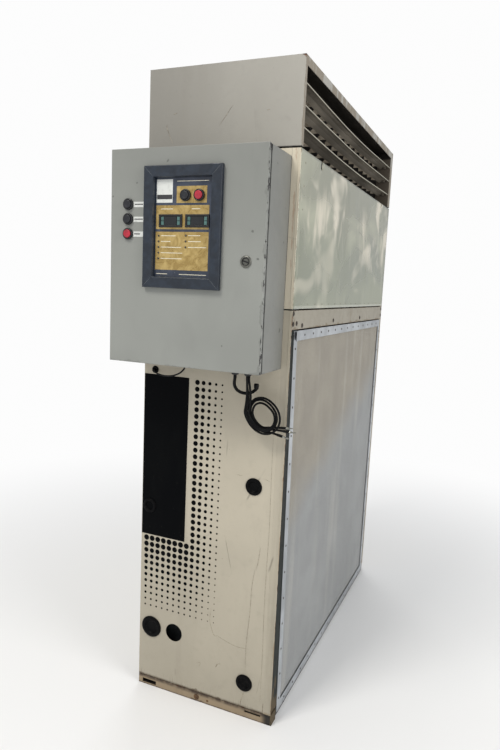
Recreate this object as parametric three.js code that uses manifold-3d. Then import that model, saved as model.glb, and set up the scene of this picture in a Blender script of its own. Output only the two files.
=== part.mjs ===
// Packaged air-cooled water chiller: a tall narrow cabinet with a side air filter and condenser,
// a louvred discharge hood on top and a hinged control enclosure on the front.
// Millimetres, +Z up. Origin: centre of the base at floor level. Front faces -Y, air side faces +X.

import * as THREE from 'three';
import * as BufferGeometryUtils from 'three/addons/utils/BufferGeometryUtils.js';
import Module from 'manifold-3d';

const wasm = await Module();
wasm.setup();

// ---------------------------------------------------------------- driving dimensions

const WIDTH = 455;
const DEPTH = 1140;
const HEIGHT = 1850;
const SHEET = 1.5;
const GAP = 0.3;
const SEAM = 4;

const BASE_HEIGHT = 30;
const BASE_BEAM = 26;
const RAIL_BOTTOM = 1160;
const RAIL_TOP = 1215;
const HOOD_BOTTOM = 1628;
const POST = 23;
const DARK_POST_DEPTH = 50;

const RIGHT = WIDTH / 2;
const LEFT = -WIDTH / 2;
const FRONT = -DEPTH / 2;
const REAR = DEPTH / 2;
const POST_INNER = RIGHT - SHEET - GAP - POST;

const OUTLET = { yFront: FRONT + 14, yRear: REAR - 34, rim: 23 };
const BLADE = { count: 3, top: 1788, pitch: 54, chord: 42, sheet: 1.6, pin: 3, sleeve: 14 };
const BLADE_AXIS_X = RIGHT - 2 - BLADE.chord / 2;
const JAMB = { depth: 55, sheet: 2 };
const VANE = { count: 15, pitch: 71, xFront: 178, depth: 40, bottom: 1664, sheet: 1.6, rail: 8 };

const FILTER = {
  yFrontTop: FRONT + 24,
  yFrontBottom: FRONT + 52,
  yRear: REAR - 19,
  bottom: 8,
  strip: 28,
  lap: 8,
  recess: 3.6,
  cloth: 4,
};
const COIL = { x: 152, thickness: 48, bottom: 60, top: 1140 };

const FAN = { y: 268, deck: 1420, bore: 187, ring: 60, tip: 176, hub: 52, hubHeight: 34, blades: 5 };
const FAN_BLADE = { chord: 92, sheet: 3, pitchAngle: 0.42 };
const MOTOR = { radius: 62, height: 92, shaft: 8, shaftBore: 8.8, arm: 18, armDepth: 5 };

const INNER_FLOOR = BASE_HEIGHT + 2 + GAP;
const COMPRESSOR = { x: -70, y: 250, radius: 104, height: 300, foot: 110, footHeight: 14 };
const SUCTION_DIAMETER = 22;
const DISCHARGE_DIAMETER = 16;
const EVAPORATOR = { x0: -200, x1: -80, y0: -96, y1: 24, top: 500 };
const TANK = { x0: -212, x1: 120, y0: -530, y1: -130, top: 600, neck: 50, neckTop: 625 };
const PUMP = { x: -120, y0: 400, y1: 540, radius: 62, cover: 48, axis: 70, spout: 18, top: 170 };

const BOX = { left: -242, right: 203, bottom: 1055, top: 1607, sheet: 2, rim: 12 };
const BOX_BACK = FRONT - GAP;
const DOOR_FRONT = FRONT - 151;
const DOOR_DEPTH = 14;
const DOOR_BACK = DOOR_FRONT + DOOR_DEPTH;
const BOX_FACE = DOOR_BACK + 5;
const CABLE_HOLE = 6.5;
const MOUNTING_PLATE = { standoff: 18, sheet: 2.5, side: 22, end: 25 };
const CONTACTOR = { count: 4, x: -150, pitch: 64, width: 48, depth: 58, bottom: 1170, top: 1250 };
const CONTACTOR_RAIL = { x0: -160, x1: 120, bottom: 1192, top: 1227, depth: 8 };
const HINGE = { x: BOX.left - 4.5, y: DOOR_BACK + GAP, radius: 4 };
const HINGE_END = 26;

const WINDOW = { x: -23.5, z: 1409, width: 222, height: 304, member: 29, proud: 12 };
const FASCIA = { width: 184, height: 260, sheet: 3 };
const CONTROLLER = { width: 68, height: 32, bezel: 3, inset: 2.4, depth: 58, z: 1426, pitch: 77 };
const BUTTON = { cap: 10.5, hole: 11.2, proud: 9, stem: 6 };
const DOOR_BUTTONS = { x: -187, z: 1468, pitch: 37.5, count: 3 };
const FASCIA_BUTTONS = { x: [-17.5, 21.5], z: 1488.5 };
const LOCK = { x: 155, z: 1329.5, radius: 8.5, bore: 9.2, cam: 42 };

const PORTS = [
  { name: 'pipe_grommet_upper_left', x: -200, z: 597, radius: 20 },
  { name: 'pipe_grommet_lower_left', x: -184, z: 203, radius: 32 },
  { name: 'pipe_grommet_upper_right', x: 141, z: 715, radius: 23 },
  { name: 'pipe_grommet_lower_right', x: 139, z: 111, radius: 24 },
];
const OPEN_PORT = { x: -104, z: 203, radius: 28.5 };
const SENSOR_HOLE = { x: -190, z: 1017, radius: 8 };

const SUPPLY_EXIT = { x: 138, y: -640 };
const LOOP_EXIT = { x: 101, y: -640 };
const GLAND = { radius: 9, length: 16 };
const SUPPLY = { bundle: 12, coilX: 172, coilY: -612, coilZ: 934, coilMean: 43, coilSection: 9.5 };
const TAIL_BUNDLE = 20;
const LOOP_DIAMETER = 9;
const LEAD_DIAMETER = 4;
const LEAD_TOP_X = -58;

// ---------------------------------------------------------------- materials

const paint = (color, roughness = 0.5, metalness = 0.1) =>
  new THREE.MeshStandardMaterial({ color, roughness, metalness });

const CREAM = () => paint(0xb9b19f);
const GREY_GREEN = () => paint(0xa9aca0, 0.35, 0.4);
const DARK_STEEL = () => paint(0x2f3430, 0.6, 0.3);
const GALVANISED = () => paint(0x8f9396, 0.4, 0.8);
const ALUMINIUM = () => paint(0xb4bcc4, 0.35, 0.9);
const BLADE_BROWN = () => paint(0x4b4740, 0.55, 0.4);
const BOX_GREY = () => paint(0x8d908c, 0.35);
const BLACK_PLASTIC = () => paint(0x1d1f22, 0.4, 0);
const RUBBER = () => paint(0x121314, 0.7, 0);
const MEDIA = () => paint(0x9b9c9c, 0.9, 0);
const FOIL_FINS = () => paint(0x9aa1a6, 0.4, 0.8);
const COPPER = () => paint(0xb06a45, 0.35, 0.9);
const BLACK_ENAMEL = () => paint(0x17181a, 0.35, 0.2);
const INSULATION = () => paint(0x24272a, 0.9, 0);
const GOLD_PANEL = () => paint(0x253247, 0.4, 0.1);
const RED = () => paint(0xb5263a, 0.35, 0);
const CHROME = () => paint(0xaaaca6, 0.25, 0.9);

// ---------------------------------------------------------------- geometry helpers

function box(x0, x1, y0, y1, z0, z1) {
  const geometry = new THREE.BoxGeometry(x1 - x0, y1 - y0, z1 - z0);
  return geometry.translate((x0 + x1) / 2, (y0 + y1) / 2, (z0 + z1) / 2);
}

// A plate of a given width and height centred on (x, z), between two depths.
function plateAt(x, z, width, height, yFront, yBack) {
  return box(x - width / 2, x + width / 2, yFront, yBack, z - height / 2, z + height / 2);
}

// A cylinder along 'x', 'y' or 'z', from low to high, centred on (a, b) of the other two axes.
function rod(axis, radius, low, high, a, b, sides = 16) {
  const geometry = new THREE.CylinderGeometry(radius, radius, high - low, sides);
  const middle = (low + high) / 2;
  if (axis === 'x') return geometry.rotateZ(Math.PI / 2).translate(middle, a, b);
  if (axis === 'y') return geometry.translate(a, middle, b);
  return geometry.rotateX(Math.PI / 2).translate(a, b, middle);
}

function toSolid(geometry) {
  const bare = geometry.index ? geometry.toNonIndexed() : geometry.clone();
  bare.deleteAttribute('normal');
  bare.deleteAttribute('uv');
  const merged = BufferGeometryUtils.mergeVertices(bare, 1e-4);
  const mesh = new wasm.Mesh({
    numProp: 3,
    vertProperties: new Float32Array(merged.attributes.position.array),
    triVerts: new Uint32Array(merged.index.array),
  });
  return new wasm.Manifold(mesh);
}

function toGeometry(solid) {
  const mesh = solid.getMesh();
  const geometry = new THREE.BufferGeometry();
  geometry.setAttribute('position', new THREE.BufferAttribute(mesh.vertProperties, 3));
  geometry.setIndex(new THREE.BufferAttribute(mesh.triVerts, 1));
  return geometry;
}

function join(...geometries) {
  const [first, ...rest] = geometries.map(toSolid);
  return toGeometry(rest.reduce((sum, solid) => sum.add(solid), first));
}

function cut(body, ...tools) {
  return toGeometry(tools.map(toSolid).reduce((left, tool) => left.subtract(tool), toSolid(body)));
}

// A tube of constant diameter whose centreline is a smooth curve through the given points.
function tube(points, diameter, sides, steps) {
  const curve = new THREE.CatmullRomCurve3(points.map((p) => new THREE.Vector3(...p)), false, 'centripetal');
  const section = new THREE.Shape();
  section.setFromPoints(
    Array.from({ length: sides }, (_, i) => {
      const angle = (2 * Math.PI * i) / sides;
      return new THREE.Vector2((diameter / 2) * Math.cos(angle), (diameter / 2) * Math.sin(angle));
    }),
  );
  return new THREE.ExtrudeGeometry(section, { steps, extrudePath: curve, curveSegments: 1 });
}

const unit = new THREE.Group();

function addPart(name, geometry, material, parent = unit) {
  const mesh = new THREE.Mesh(geometry, material);
  mesh.name = name;
  parent.add(mesh);
  return mesh;
}

// ---------------------------------------------------------------- base and posts

function addBase() {
  const beam = BASE_BEAM;
  const rightFace = RIGHT - SHEET - GAP;
  const frontFace = FRONT + 1;
  const frontSlot = (x0, x1, z0, z1) => box(x0, x1, FRONT - 1, FRONT + beam + 1, z0, z1);
  const ring = join(
    box(LEFT, rightFace, frontFace, FRONT + beam, 0, BASE_HEIGHT),
    box(LEFT, rightFace, REAR - beam, REAR, 0, BASE_HEIGHT),
    box(LEFT, LEFT + beam, frontFace, REAR, 0, BASE_HEIGHT),
    box(rightFace - beam, rightFace, frontFace, REAR, 0, BASE_HEIGHT),
    box(LEFT, rightFace, -beam, beam, 0, BASE_HEIGHT),
  );
  const wideSlot = frontSlot(LEFT + 13.5, LEFT + 63.5, 5, 18);
  const narrowSlot = frontSlot(rightFace - 82, rightFace - 30, 17, 23);
  const slotted = cut(ring, wideSlot, narrowSlot);
  addPart('base_frame', slotted, CREAM());
  const panX = POST_INNER - 1;
  const pan = box(-panX, panX, FRONT + POST + 4, REAR - POST - 4, BASE_HEIGHT + GAP, BASE_HEIGHT + 2);
  addPart('floor_pan', pan, GALVANISED());
}

function addPosts() {
  const xOuter = RIGHT - SHEET - GAP;
  const yOuter = REAR - SHEET - GAP;
  for (const [side, sx] of [['left', -1], ['right', 1]]) {
    for (const [end, sy] of [['front', -1], ['rear', 1]]) {
      const xs = [sx * (xOuter - POST), sx * xOuter].sort((a, b) => a - b);
      const dark = sx > 0 && sy < 0;
      const ys = [sy * (yOuter - (dark ? DARK_POST_DEPTH : POST)), sy * yOuter].sort((a, b) => a - b);
      const post = box(...xs, ...ys, BASE_HEIGHT + GAP, HOOD_BOTTOM - SEAM / 2);
      addPart(`post_${end}_${side}`, post, dark ? DARK_STEEL() : CREAM());
    }
  }
}

// ---------------------------------------------------------------- cabinet skins

function addFrontPanels() {
  const panelBottom = BASE_HEIGHT + 2;
  const seamTop = RAIL_TOP - SEAM / 2;
  const seamX = POST_INNER - 0.5;
  const holes = [...PORTS, OPEN_PORT, SENSOR_HOLE].map((port) =>
    rod('y', port.radius, FRONT - 5, FRONT + 5, port.x, port.z, 24),
  );
  const lower = box(LEFT, seamX, FRONT, FRONT + SHEET, panelBottom, seamTop);
  addPart('front_lower_panel', cut(lower, ...holes), CREAM());
  addPart('front_edge_trim', box(seamX + 1, RIGHT, FRONT, FRONT + SHEET, panelBottom, seamTop), CREAM());
  const upper = box(LEFT, RIGHT, FRONT, FRONT + SHEET, RAIL_TOP + SEAM / 2, HOOD_BOTTOM - SEAM / 2);
  addPart('front_upper_panel', upper, CREAM());
}

// A blanking grommet: a rounded flange in front of the panel and a plug that fills the hole.
function addGrommets() {
  for (const port of PORTS) {
    const r = port.radius;
    const profile = [
      [0, -1],
      [r * 0.55, -1],
      [r * 0.62, -4],
      [r + 1.5, -3.5],
      [r + 2.5, -GAP],
      [r - GAP, -GAP],
      [r - GAP, SHEET],
      [0, SHEET],
    ];
    const points = profile.map(([radius, y]) => new THREE.Vector2(radius, y));
    const ring = new THREE.LatheGeometry(points, 24).rotateY(Math.PI / 24);
    addPart(port.name, ring.translate(port.x, FRONT, port.z), RUBBER());
  }
}

function addSidePanels() {
  const yFront = FRONT + SHEET + GAP;
  const yRear = REAR - SHEET - GAP;
  const levels = {
    lower: [BASE_HEIGHT + 2, RAIL_TOP - SEAM / 2],
    upper: [RAIL_TOP + SEAM / 2, HOOD_BOTTOM - SEAM / 2],
  };
  for (const [level, [z0, z1]] of Object.entries(levels)) {
    addPart(`left_${level}_panel`, box(LEFT, LEFT + SHEET, yFront, yRear, z0, z1), CREAM());
  }
  const notchBottom = HOOD_BOTTOM - 24;
  const notch = (y) => box(RIGHT - 5, RIGHT + 5, y - 5, y + 5, notchBottom, HOOD_BOTTOM + 5);
  const sheet = box(RIGHT - SHEET, RIGHT, yFront, yRear, ...levels.upper);
  addPart('right_upper_panel', cut(sheet, notch(FRONT + 178), notch(REAR - 156)), GREY_GREEN());
  const rear = box(LEFT, RIGHT, REAR - SHEET, REAR, BASE_HEIGHT + 2, HOOD_BOTTOM - SEAM / 2);
  addPart('rear_panel', rear, CREAM());
  const z0 = RAIL_BOTTOM + 2;
  const z1 = RAIL_TOP - SEAM / 2;
  const flange = 22;
  const flangeFront = yFront + DARK_POST_DEPTH + 2;
  const flangeRear = REAR - POST - 4;
  const rail = join(
    box(RIGHT - SHEET, RIGHT, yFront, yRear, z0, z1),
    box(RIGHT - flange, RIGHT, flangeFront, flangeRear, z0, z0 + SHEET),
    box(RIGHT - flange, RIGHT, flangeFront, flangeRear, z1 - SHEET, z1),
  );
  addPart('side_cross_rail', rail, CREAM());
}

// ---------------------------------------------------------------- filter and condenser

// A plate facing +X: a four-sided outline with an upright rear edge and a leaning front edge.
function leaningPlate(x0, x1, frontBottom, frontTop, rear, z0, z1) {
  const outline = new THREE.Shape();
  outline.moveTo(frontBottom, z0);
  outline.lineTo(rear, z0);
  outline.lineTo(rear, z1);
  outline.lineTo(frontTop, z1);
  outline.closePath();
  const plate = new THREE.ExtrudeGeometry(outline, { depth: x1 - x0, bevelEnabled: false, steps: 1 });
  return plate.rotateY(Math.PI / 2).rotateX(Math.PI / 2).translate(x0, 0, 0);
}

function addFilter() {
  const { yFrontTop, yFrontBottom, yRear, bottom, strip, lap, recess, cloth } = FILTER;
  const top = RAIL_BOTTOM - 2;
  const outer = leaningPlate(RIGHT - SHEET, RIGHT, yFrontBottom, yFrontTop, yRear, bottom, top);
  const hole = leaningPlate(
    RIGHT - 9,
    RIGHT + 9,
    yFrontBottom + strip,
    yFrontTop + strip,
    yRear - strip,
    bottom + strip,
    top - strip,
  );
  addPart('filter_frame', cut(outer, hole), ALUMINIUM());
  const back = RIGHT - SHEET - GAP - recess;
  const clothFront = FRONT + SHEET + GAP + DARK_POST_DEPTH + 2;
  const clothBottom = BASE_HEIGHT + GAP;
  const media = box(back - cloth, back, clothFront, yRear - lap, clothBottom, top - lap);
  addPart('filter_media', media, MEDIA());
}

function addCondenser() {
  const yEnd = REAR - POST - 12;
  const block = box(COIL.x, COIL.x + COIL.thickness, -yEnd, yEnd, COIL.bottom, COIL.top);
  addPart('condenser_coil', block, FOIL_FINS());
}

// ---------------------------------------------------------------- fans

function addFanDeck() {
  const x = POST_INNER - 1;
  const y = REAR - POST - 4;
  const plate = box(-x, x, -y, y, FAN.deck, FAN.deck + 2);
  const rings = [-FAN.y, FAN.y].map((yFan) =>
    rod('z', FAN.bore + 3, FAN.deck - FAN.ring, FAN.deck + 1, 0, yFan, 32),
  );
  const bores = [-FAN.y, FAN.y].map((yFan) => rod('z', FAN.bore, 0, HEIGHT, 0, yFan, 32));
  addPart('fan_deck', cut(join(plate, ...rings), ...bores), GALVANISED());
}

function addFan(label, y) {
  const { radius, height, shaft, shaftBore, arm, armDepth } = MOTOR;
  const armTop = FAN.deck - FAN.ring - GAP;
  const motorTop = armTop + 4;
  const armLength = FAN.bore + 8;
  const hubBottom = motorTop + 6;
  const hubTop = hubBottom + FAN.hubHeight;
  const shaftTop = hubTop - 12;
  const motor = join(
    rod('z', radius, motorTop - height, motorTop, 0, y, 20),
    rod('z', shaft, motorTop - 5, shaftTop, 0, y, 12),
    box(-armLength, armLength, y - arm / 2, y + arm / 2, armTop - armDepth, armTop),
    box(-arm / 2, arm / 2, y - armLength, y + armLength, armTop - armDepth, armTop),
  );
  addPart(`fan_motor_${label}`, motor, BLACK_ENAMEL());

  const { chord, sheet, pitchAngle } = FAN_BLADE;
  const bladeLength = FAN.tip - FAN.hub + 8;
  const bladeMiddle = hubBottom + FAN.hubHeight / 2 + 1;
  const blades = Array.from({ length: FAN.blades }, (_, i) => {
    const blade = new THREE.BoxGeometry(bladeLength, chord, sheet).rotateX(pitchAngle);
    blade.translate(FAN.tip - bladeLength / 2, 0, 0);
    return blade.rotateZ((2 * Math.PI * i) / FAN.blades).translate(0, y, bladeMiddle);
  });
  const swept = rod('z', FAN.tip, hubBottom - 20, hubTop + 20, 0, y, 32);
  const wheel = join(rod('z', FAN.hub, hubBottom, hubTop, 0, y, 24), ...blades);
  const trimmed = toGeometry(toSolid(wheel).intersect(toSolid(swept)));
  const bore = rod('z', shaftBore, hubBottom - 30, shaftTop + 1, 0, y, 12);
  addPart(`fan_propeller_${label}`, cut(trimmed, bore), ALUMINIUM());
}

// ---------------------------------------------------------------- refrigeration and water circuit

function addCompressor() {
  const { x, y, radius, height, foot, footHeight } = COMPRESSOR;
  const shellBottom = INNER_FLOOR + footHeight - 2;
  const profile = [
    [0, 0],
    [radius - 8, 0],
    [radius, 24],
    [radius, height - 64],
    [radius - 16, height - 20],
    [40, height],
    [0, height],
  ];
  const shell = new THREE.LatheGeometry(profile.map(([r, z]) => new THREE.Vector2(r, z)), 24);
  shell.rotateX(Math.PI / 2).translate(x, y, shellBottom);
  const feet = box(x - foot, x + foot, y - foot, y + foot, INNER_FLOOR, INNER_FLOOR + footHeight);
  addPart('compressor', join(shell, feet), BLACK_ENAMEL());

  const evaporatorX = (EVAPORATOR.x0 + EVAPORATOR.x1) / 2;
  const evaporatorY = (EVAPORATOR.y0 + EVAPORATOR.y1) / 2;
  const suctionZ = 250;
  const suction = [
    [x, y - radius - GAP, suctionZ],
    [x, y - radius - 26, suctionZ],
    [x, y - radius - 76, suctionZ + 40],
    [x - 4, y - radius - 94, suctionZ + 170],
    [x - 20, y - radius - 102, EVAPORATOR.top + 20],
    [evaporatorX + 22, evaporatorY + 40, EVAPORATOR.top + 52],
    [evaporatorX, evaporatorY, EVAPORATOR.top + 36],
    [evaporatorX, evaporatorY, EVAPORATOR.top + GAP],
  ];
  addPart('suction_line', tube(suction, SUCTION_DIAMETER, 10, 22), COPPER());
  const coilInlet = { y: 450, z: 960 };
  const discharge = [
    [x, y, shellBottom + height + GAP],
    [x, y, shellBottom + height + 86],
    [x + 50, y + 50, 500],
    [x + 130, y + 150, 700],
    [x + 170, y + 190, coilInlet.z - 60],
    [COIL.x - 24, coilInlet.y, coilInlet.z],
    [COIL.x - GAP, coilInlet.y, coilInlet.z],
  ];
  addPart('discharge_line', tube(discharge, DISCHARGE_DIAMETER, 10, 24), COPPER());
}

function addWaterCircuit() {
  const { x0, x1, y0, y1, top, neck, neckTop } = TANK;
  const plinth = 30;
  const tank = join(
    box(x0, x1, y0, y1, INNER_FLOOR + plinth - 10, top),
    rod('z', neck, top - 10, neckTop, (x0 + x1) / 2 + 6, (y0 + y1) / 2, 20),
    box(x0 + 12, x1 - 20, y0 + 10, y1 - 10, INNER_FLOOR, INNER_FLOOR + plinth),
  );
  addPart('water_tank', tank, INSULATION());
  const { x0: ex0, x1: ex1, y0: ey0, y1: ey1, top: evaporatorTop } = EVAPORATOR;
  addPart('plate_evaporator', box(ex0, ex1, ey0, ey1, INNER_FLOOR, evaporatorTop), INSULATION());

  const axisZ = INNER_FLOOR + PUMP.axis;
  const pump = join(
    rod('y', PUMP.radius, PUMP.y0, PUMP.y1 - 10, PUMP.x, axisZ, 20),
    rod('y', PUMP.cover, PUMP.y1 - 20, PUMP.y1, PUMP.x, axisZ, 20),
    box(PUMP.x - 50, PUMP.x + 50, PUMP.y0 + 10, PUMP.y1 - 20, INNER_FLOOR, INNER_FLOOR + 20),
    rod('z', PUMP.spout, axisZ + 30, INNER_FLOOR + PUMP.top, PUMP.x, PUMP.y1 - 30, 12),
  );
  addPart('water_pump', pump, BLACK_ENAMEL());
}

// ---------------------------------------------------------------- discharge hood

function addHood() {
  const z0 = HOOD_BOTTOM + SEAM / 2;
  const t = 2;
  const shell = cut(
    box(LEFT, RIGHT, FRONT, REAR, z0, HEIGHT),
    box(LEFT + t, RIGHT - t, FRONT + t, REAR - t, z0 - 5, HEIGHT - t),
    box(0, RIGHT + 5, OUTLET.yFront, OUTLET.yRear, z0 - 5, HEIGHT - OUTLET.rim),
  );
  const pivotHoles = [];
  for (let i = 0; i < BLADE.count; i += 1) {
    pivotHoles.push(rod('y', BLADE.pin + 0.6, FRONT, REAR, BLADE_AXIS_X, BLADE.top - i * BLADE.pitch, 16));
  }
  const jamb = (y) => box(RIGHT - 1 - JAMB.depth, RIGHT - 1, y, y + JAMB.sheet, z0, HEIGHT - 1);
  const jambs = [OUTLET.yFront - JAMB.sheet, OUTLET.yRear].map(jamb);
  const open = join(shell, ...jambs);
  const inside = box(-500, 500, FRONT + t + 0.01, REAR - t - 0.01, 0, 2500);
  const bores = pivotHoles.map((hole) => toGeometry(toSolid(hole).intersect(toSolid(inside))));
  addPart('hood_shell', cut(open, ...bores), CREAM());
}

function addOutletBlades() {
  const { chord, sheet, pin, pitch, top, sleeve } = BLADE;
  const y0 = OUTLET.yFront + 3;
  const y1 = OUTLET.yRear - 3;
  for (let i = 0; i < BLADE.count; i += 1) {
    const z = top - i * pitch;
    const outline = new THREE.Shape();
    outline.moveTo(-chord / 2, -5);
    outline.lineTo(-chord / 6, 1);
    outline.lineTo(chord / 6, 3);
    outline.lineTo(chord / 2, 1);
    outline.lineTo(chord / 2, 1 + sheet);
    outline.lineTo(chord / 6, 3 + sheet);
    outline.lineTo(-chord / 6, 1 + sheet);
    outline.lineTo(-chord / 2, -5 + sheet);
    const slat = new THREE.ExtrudeGeometry(outline, { depth: y1 - y0, bevelEnabled: false, steps: 1 });
    slat.rotateX(Math.PI / 2).translate(BLADE_AXIS_X, y1, z);
    const pins = rod('y', pin, OUTLET.yFront - 8, OUTLET.yRear + 8, BLADE_AXIS_X, z, 12);
    const sleeves = [
      box(BLADE_AXIS_X - 4, BLADE_AXIS_X + 4, y0, y0 + sleeve, z - 4, z + 4),
      box(BLADE_AXIS_X - 4, BLADE_AXIS_X + 4, y1 - sleeve, y1, z - 4, z + 4),
    ];
    const middle = box(-500, 500, y0 + sleeve - 1, y1 - sleeve + 1, z - 10, z + 10);
    const stubs = cut(pins, middle);
    addPart(`outlet_blade_${i + 1}`, join(slat, ...sleeves, ...splitStubs(stubs)), BLADE_BROWN());
  }
}

// The pivot pin of a blade is two stubs: each one is returned as its own geometry.
function splitStubs(geometry) {
  return toSolid(geometry).decompose().map(toGeometry);
}

// Upright vanes between a lower and an upper rail, in a front and a rear bank.
function addVaneBanks() {
  const { count, pitch, xFront, depth, bottom: z0, sheet, rail } = VANE;
  const z1 = HEIGHT - OUTLET.rim - 6;
  const yFirst = (OUTLET.yFront + OUTLET.yRear) / 2 - ((count - 1) * pitch) / 2;
  const half = Math.ceil(count / 2);
  for (const [end, first, last] of [['front', 0, half - 1], ['rear', half, count - 1]]) {
    const vanes = [];
    for (let i = first; i <= last; i += 1) {
      const y = yFirst + i * pitch;
      vanes.push(box(xFront - depth, xFront, y - sheet / 2, y + sheet / 2, z0, z1));
    }
    const y0 = yFirst + (first - 0.5) * pitch + GAP;
    const y1 = yFirst + (last + 0.5) * pitch - GAP;
    const rails = [z0, z1 - rail].map((z) => box(xFront - depth, xFront - depth + 6, y0, y1, z, z + rail));
    addPart(`vane_bank_${end}`, join(...rails, ...vanes), GALVANISED());
  }
}

// ---------------------------------------------------------------- control enclosure

function addEnclosureBody() {
  const { left, right, bottom, top, sheet, rim } = BOX;
  const shell = cut(
    box(left, right, BOX_FACE, BOX_BACK, bottom, top),
    box(left + sheet, right - sheet, BOX_FACE + sheet, BOX_BACK - sheet, bottom + sheet, top - sheet),
    box(left + rim, right - rim, BOX_FACE - 5, BOX_FACE + 5, bottom + rim, top - rim),
    rod('z', CABLE_HOLE, bottom - 5, bottom + 5, SUPPLY_EXIT.x, SUPPLY_EXIT.y, 16),
    rod('z', CABLE_HOLE, bottom - 5, bottom + 5, LOOP_EXIT.x, LOOP_EXIT.y, 16),
  );
  addPart('enclosure_body', shell, BOX_GREY());

  const { standoff, sheet: plateSheet, side, end } = MOUNTING_PLATE;
  const plateBack = BOX_BACK - standoff;
  const plateFace = plateBack - plateSheet;
  const plate = box(left + side, right - side, plateFace, plateBack, bottom + end, top - end);
  addPart('mounting_plate', plate, ALUMINIUM());

  const front = plateFace - GAP;
  const rail = CONTACTOR_RAIL;
  const row = [box(rail.x0, rail.x1, front - rail.depth, front, rail.bottom, rail.top)];
  for (let i = 0; i < CONTACTOR.count; i += 1) {
    const x = CONTACTOR.x + i * CONTACTOR.pitch;
    const block = [x, x + CONTACTOR.width, front - CONTACTOR.depth, front - rail.depth + 2];
    row.push(box(...block, CONTACTOR.bottom, CONTACTOR.top));
  }
  addPart('contactor_row', join(...row), BLACK_PLASTIC());
}

function addHinge() {
  const barrel = rod('z', HINGE.radius, BOX.bottom + HINGE_END, BOX.top - HINGE_END, HINGE.x, HINGE.y, 16);
  const leafX = BOX.left - GAP;
  const leaf = box(leafX - 1.2, leafX, HINGE.y, HINGE.y + 22, BOX.bottom + HINGE_END, BOX.top - HINGE_END);
  addPart('door_hinge', join(barrel, leaf), BOX_GREY());
}

function addDoor() {
  const { left, right, bottom, top } = BOX;
  const t = 2;
  const flange = 10;
  const openings = [
    plateAt(WINDOW.x, WINDOW.z, FASCIA.width, FASCIA.height, DOOR_FRONT - 5, DOOR_BACK + 5),
    rod('y', LOCK.bore, DOOR_FRONT - 5, DOOR_BACK + 5, LOCK.x, LOCK.z, 16),
  ];
  for (let i = 0; i < DOOR_BUTTONS.count; i += 1) {
    const z = DOOR_BUTTONS.z - i * DOOR_BUTTONS.pitch;
    openings.push(rod('y', BUTTON.hole, DOOR_FRONT - 5, DOOR_BACK + 5, DOOR_BUTTONS.x, z, 20));
  }
  const pan = cut(
    box(left, right, DOOR_FRONT, DOOR_BACK, bottom, top),
    box(left + flange, right - flange, DOOR_FRONT + t, DOOR_BACK + 5, bottom + flange, top - flange),
  );
  addPart('enclosure_door', cut(pan, ...openings), BOX_GREY());
}

function addLock() {
  const back = BOX_FACE + BOX.sheet + 1;
  const core = join(
    rod('y', LOCK.radius, DOOR_FRONT - 4, back + 2, LOCK.x, LOCK.z, 16),
    box(LOCK.x - 8, LOCK.x + 8, back, back + 2.5, LOCK.z - LOCK.cam, LOCK.z + 8),
  );
  const slot = box(LOCK.x - 6.5, LOCK.x + 6.5, DOOR_FRONT - 6, DOOR_FRONT - 1.5, LOCK.z - 1.3, LOCK.z + 1.3);
  addPart('lock_core', cut(core, slot), CHROME());
}

function addWindow() {
  const { x, z, width, height, member, proud } = WINDOW;
  const outer = plateAt(x, z, width, height, DOOR_FRONT - proud, DOOR_FRONT - GAP);
  const sight = plateAt(x, z, width - 2 * member, height - 2 * member, DOOR_FRONT - 30, DOOR_FRONT + 5);
  addPart('window_frame', cut(outer, sight), BLACK_PLASTIC());

  const { width: plateWidth, height: plateHeight, sheet } = FASCIA;
  const plate = plateAt(x, z, plateWidth - 2 * GAP, plateHeight - 2 * GAP, DOOR_FRONT, DOOR_FRONT + sheet);
  const cutouts = controllerCentres().map((cx) =>
    plateAt(cx, CONTROLLER.z, CONTROLLER.width - 4, CONTROLLER.height - 4, DOOR_FRONT - 9, DOOR_FRONT + 9),
  );
  for (const bx of FASCIA_BUTTONS.x) {
    cutouts.push(rod('y', BUTTON.hole, DOOR_FRONT - 9, DOOR_FRONT + 9, bx, FASCIA_BUTTONS.z, 20));
  }
  addPart('control_fascia', cut(plate, ...cutouts), GOLD_PANEL());
}

function controllerCentres() {
  return [WINDOW.x - CONTROLLER.pitch / 2 + 3, WINDOW.x + CONTROLLER.pitch / 2 + 3];
}

function addControllers() {
  const { width, height, bezel, inset, depth, z } = CONTROLLER;
  for (const [i, cx] of controllerCentres().entries()) {
    const face = DOOR_FRONT - GAP;
    const body = join(
      plateAt(cx, z, width, height, face - bezel, face),
      plateAt(cx, z, width - 2 * inset, height - 2 * inset, face - 1, face + depth),
    );
    addPart(i === 0 ? 'controller_left' : 'controller_right', body, BLACK_PLASTIC());
  }
}

// A push-button cap with its plunger; it slides in through the hole of its panel.
function addButton(name, x, z, color) {
  const cap = join(
    rod('y', BUTTON.cap, DOOR_FRONT - BUTTON.proud, DOOR_FRONT - 2, x, z, 20),
    rod('y', BUTTON.stem, DOOR_FRONT - 4, DOOR_FRONT + 20, x, z, 12),
  );
  addPart(name, cap, color);
}

function addButtons() {
  const colors = [BLACK_PLASTIC(), BLACK_PLASTIC(), RED()];
  const names = ['door_button_upper', 'door_button_middle', 'door_button_lower'];
  for (let i = 0; i < DOOR_BUTTONS.count; i += 1) {
    addButton(names[i], DOOR_BUTTONS.x, DOOR_BUTTONS.z - i * DOOR_BUTTONS.pitch, colors[i]);
  }
  addButton('fascia_button_left', FASCIA_BUTTONS.x[0], FASCIA_BUTTONS.z, BLACK_PLASTIC());
  addButton('fascia_button_right', FASCIA_BUTTONS.x[1], FASCIA_BUTTONS.z, RED());
}

// ---------------------------------------------------------------- cables under the enclosure

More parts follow.
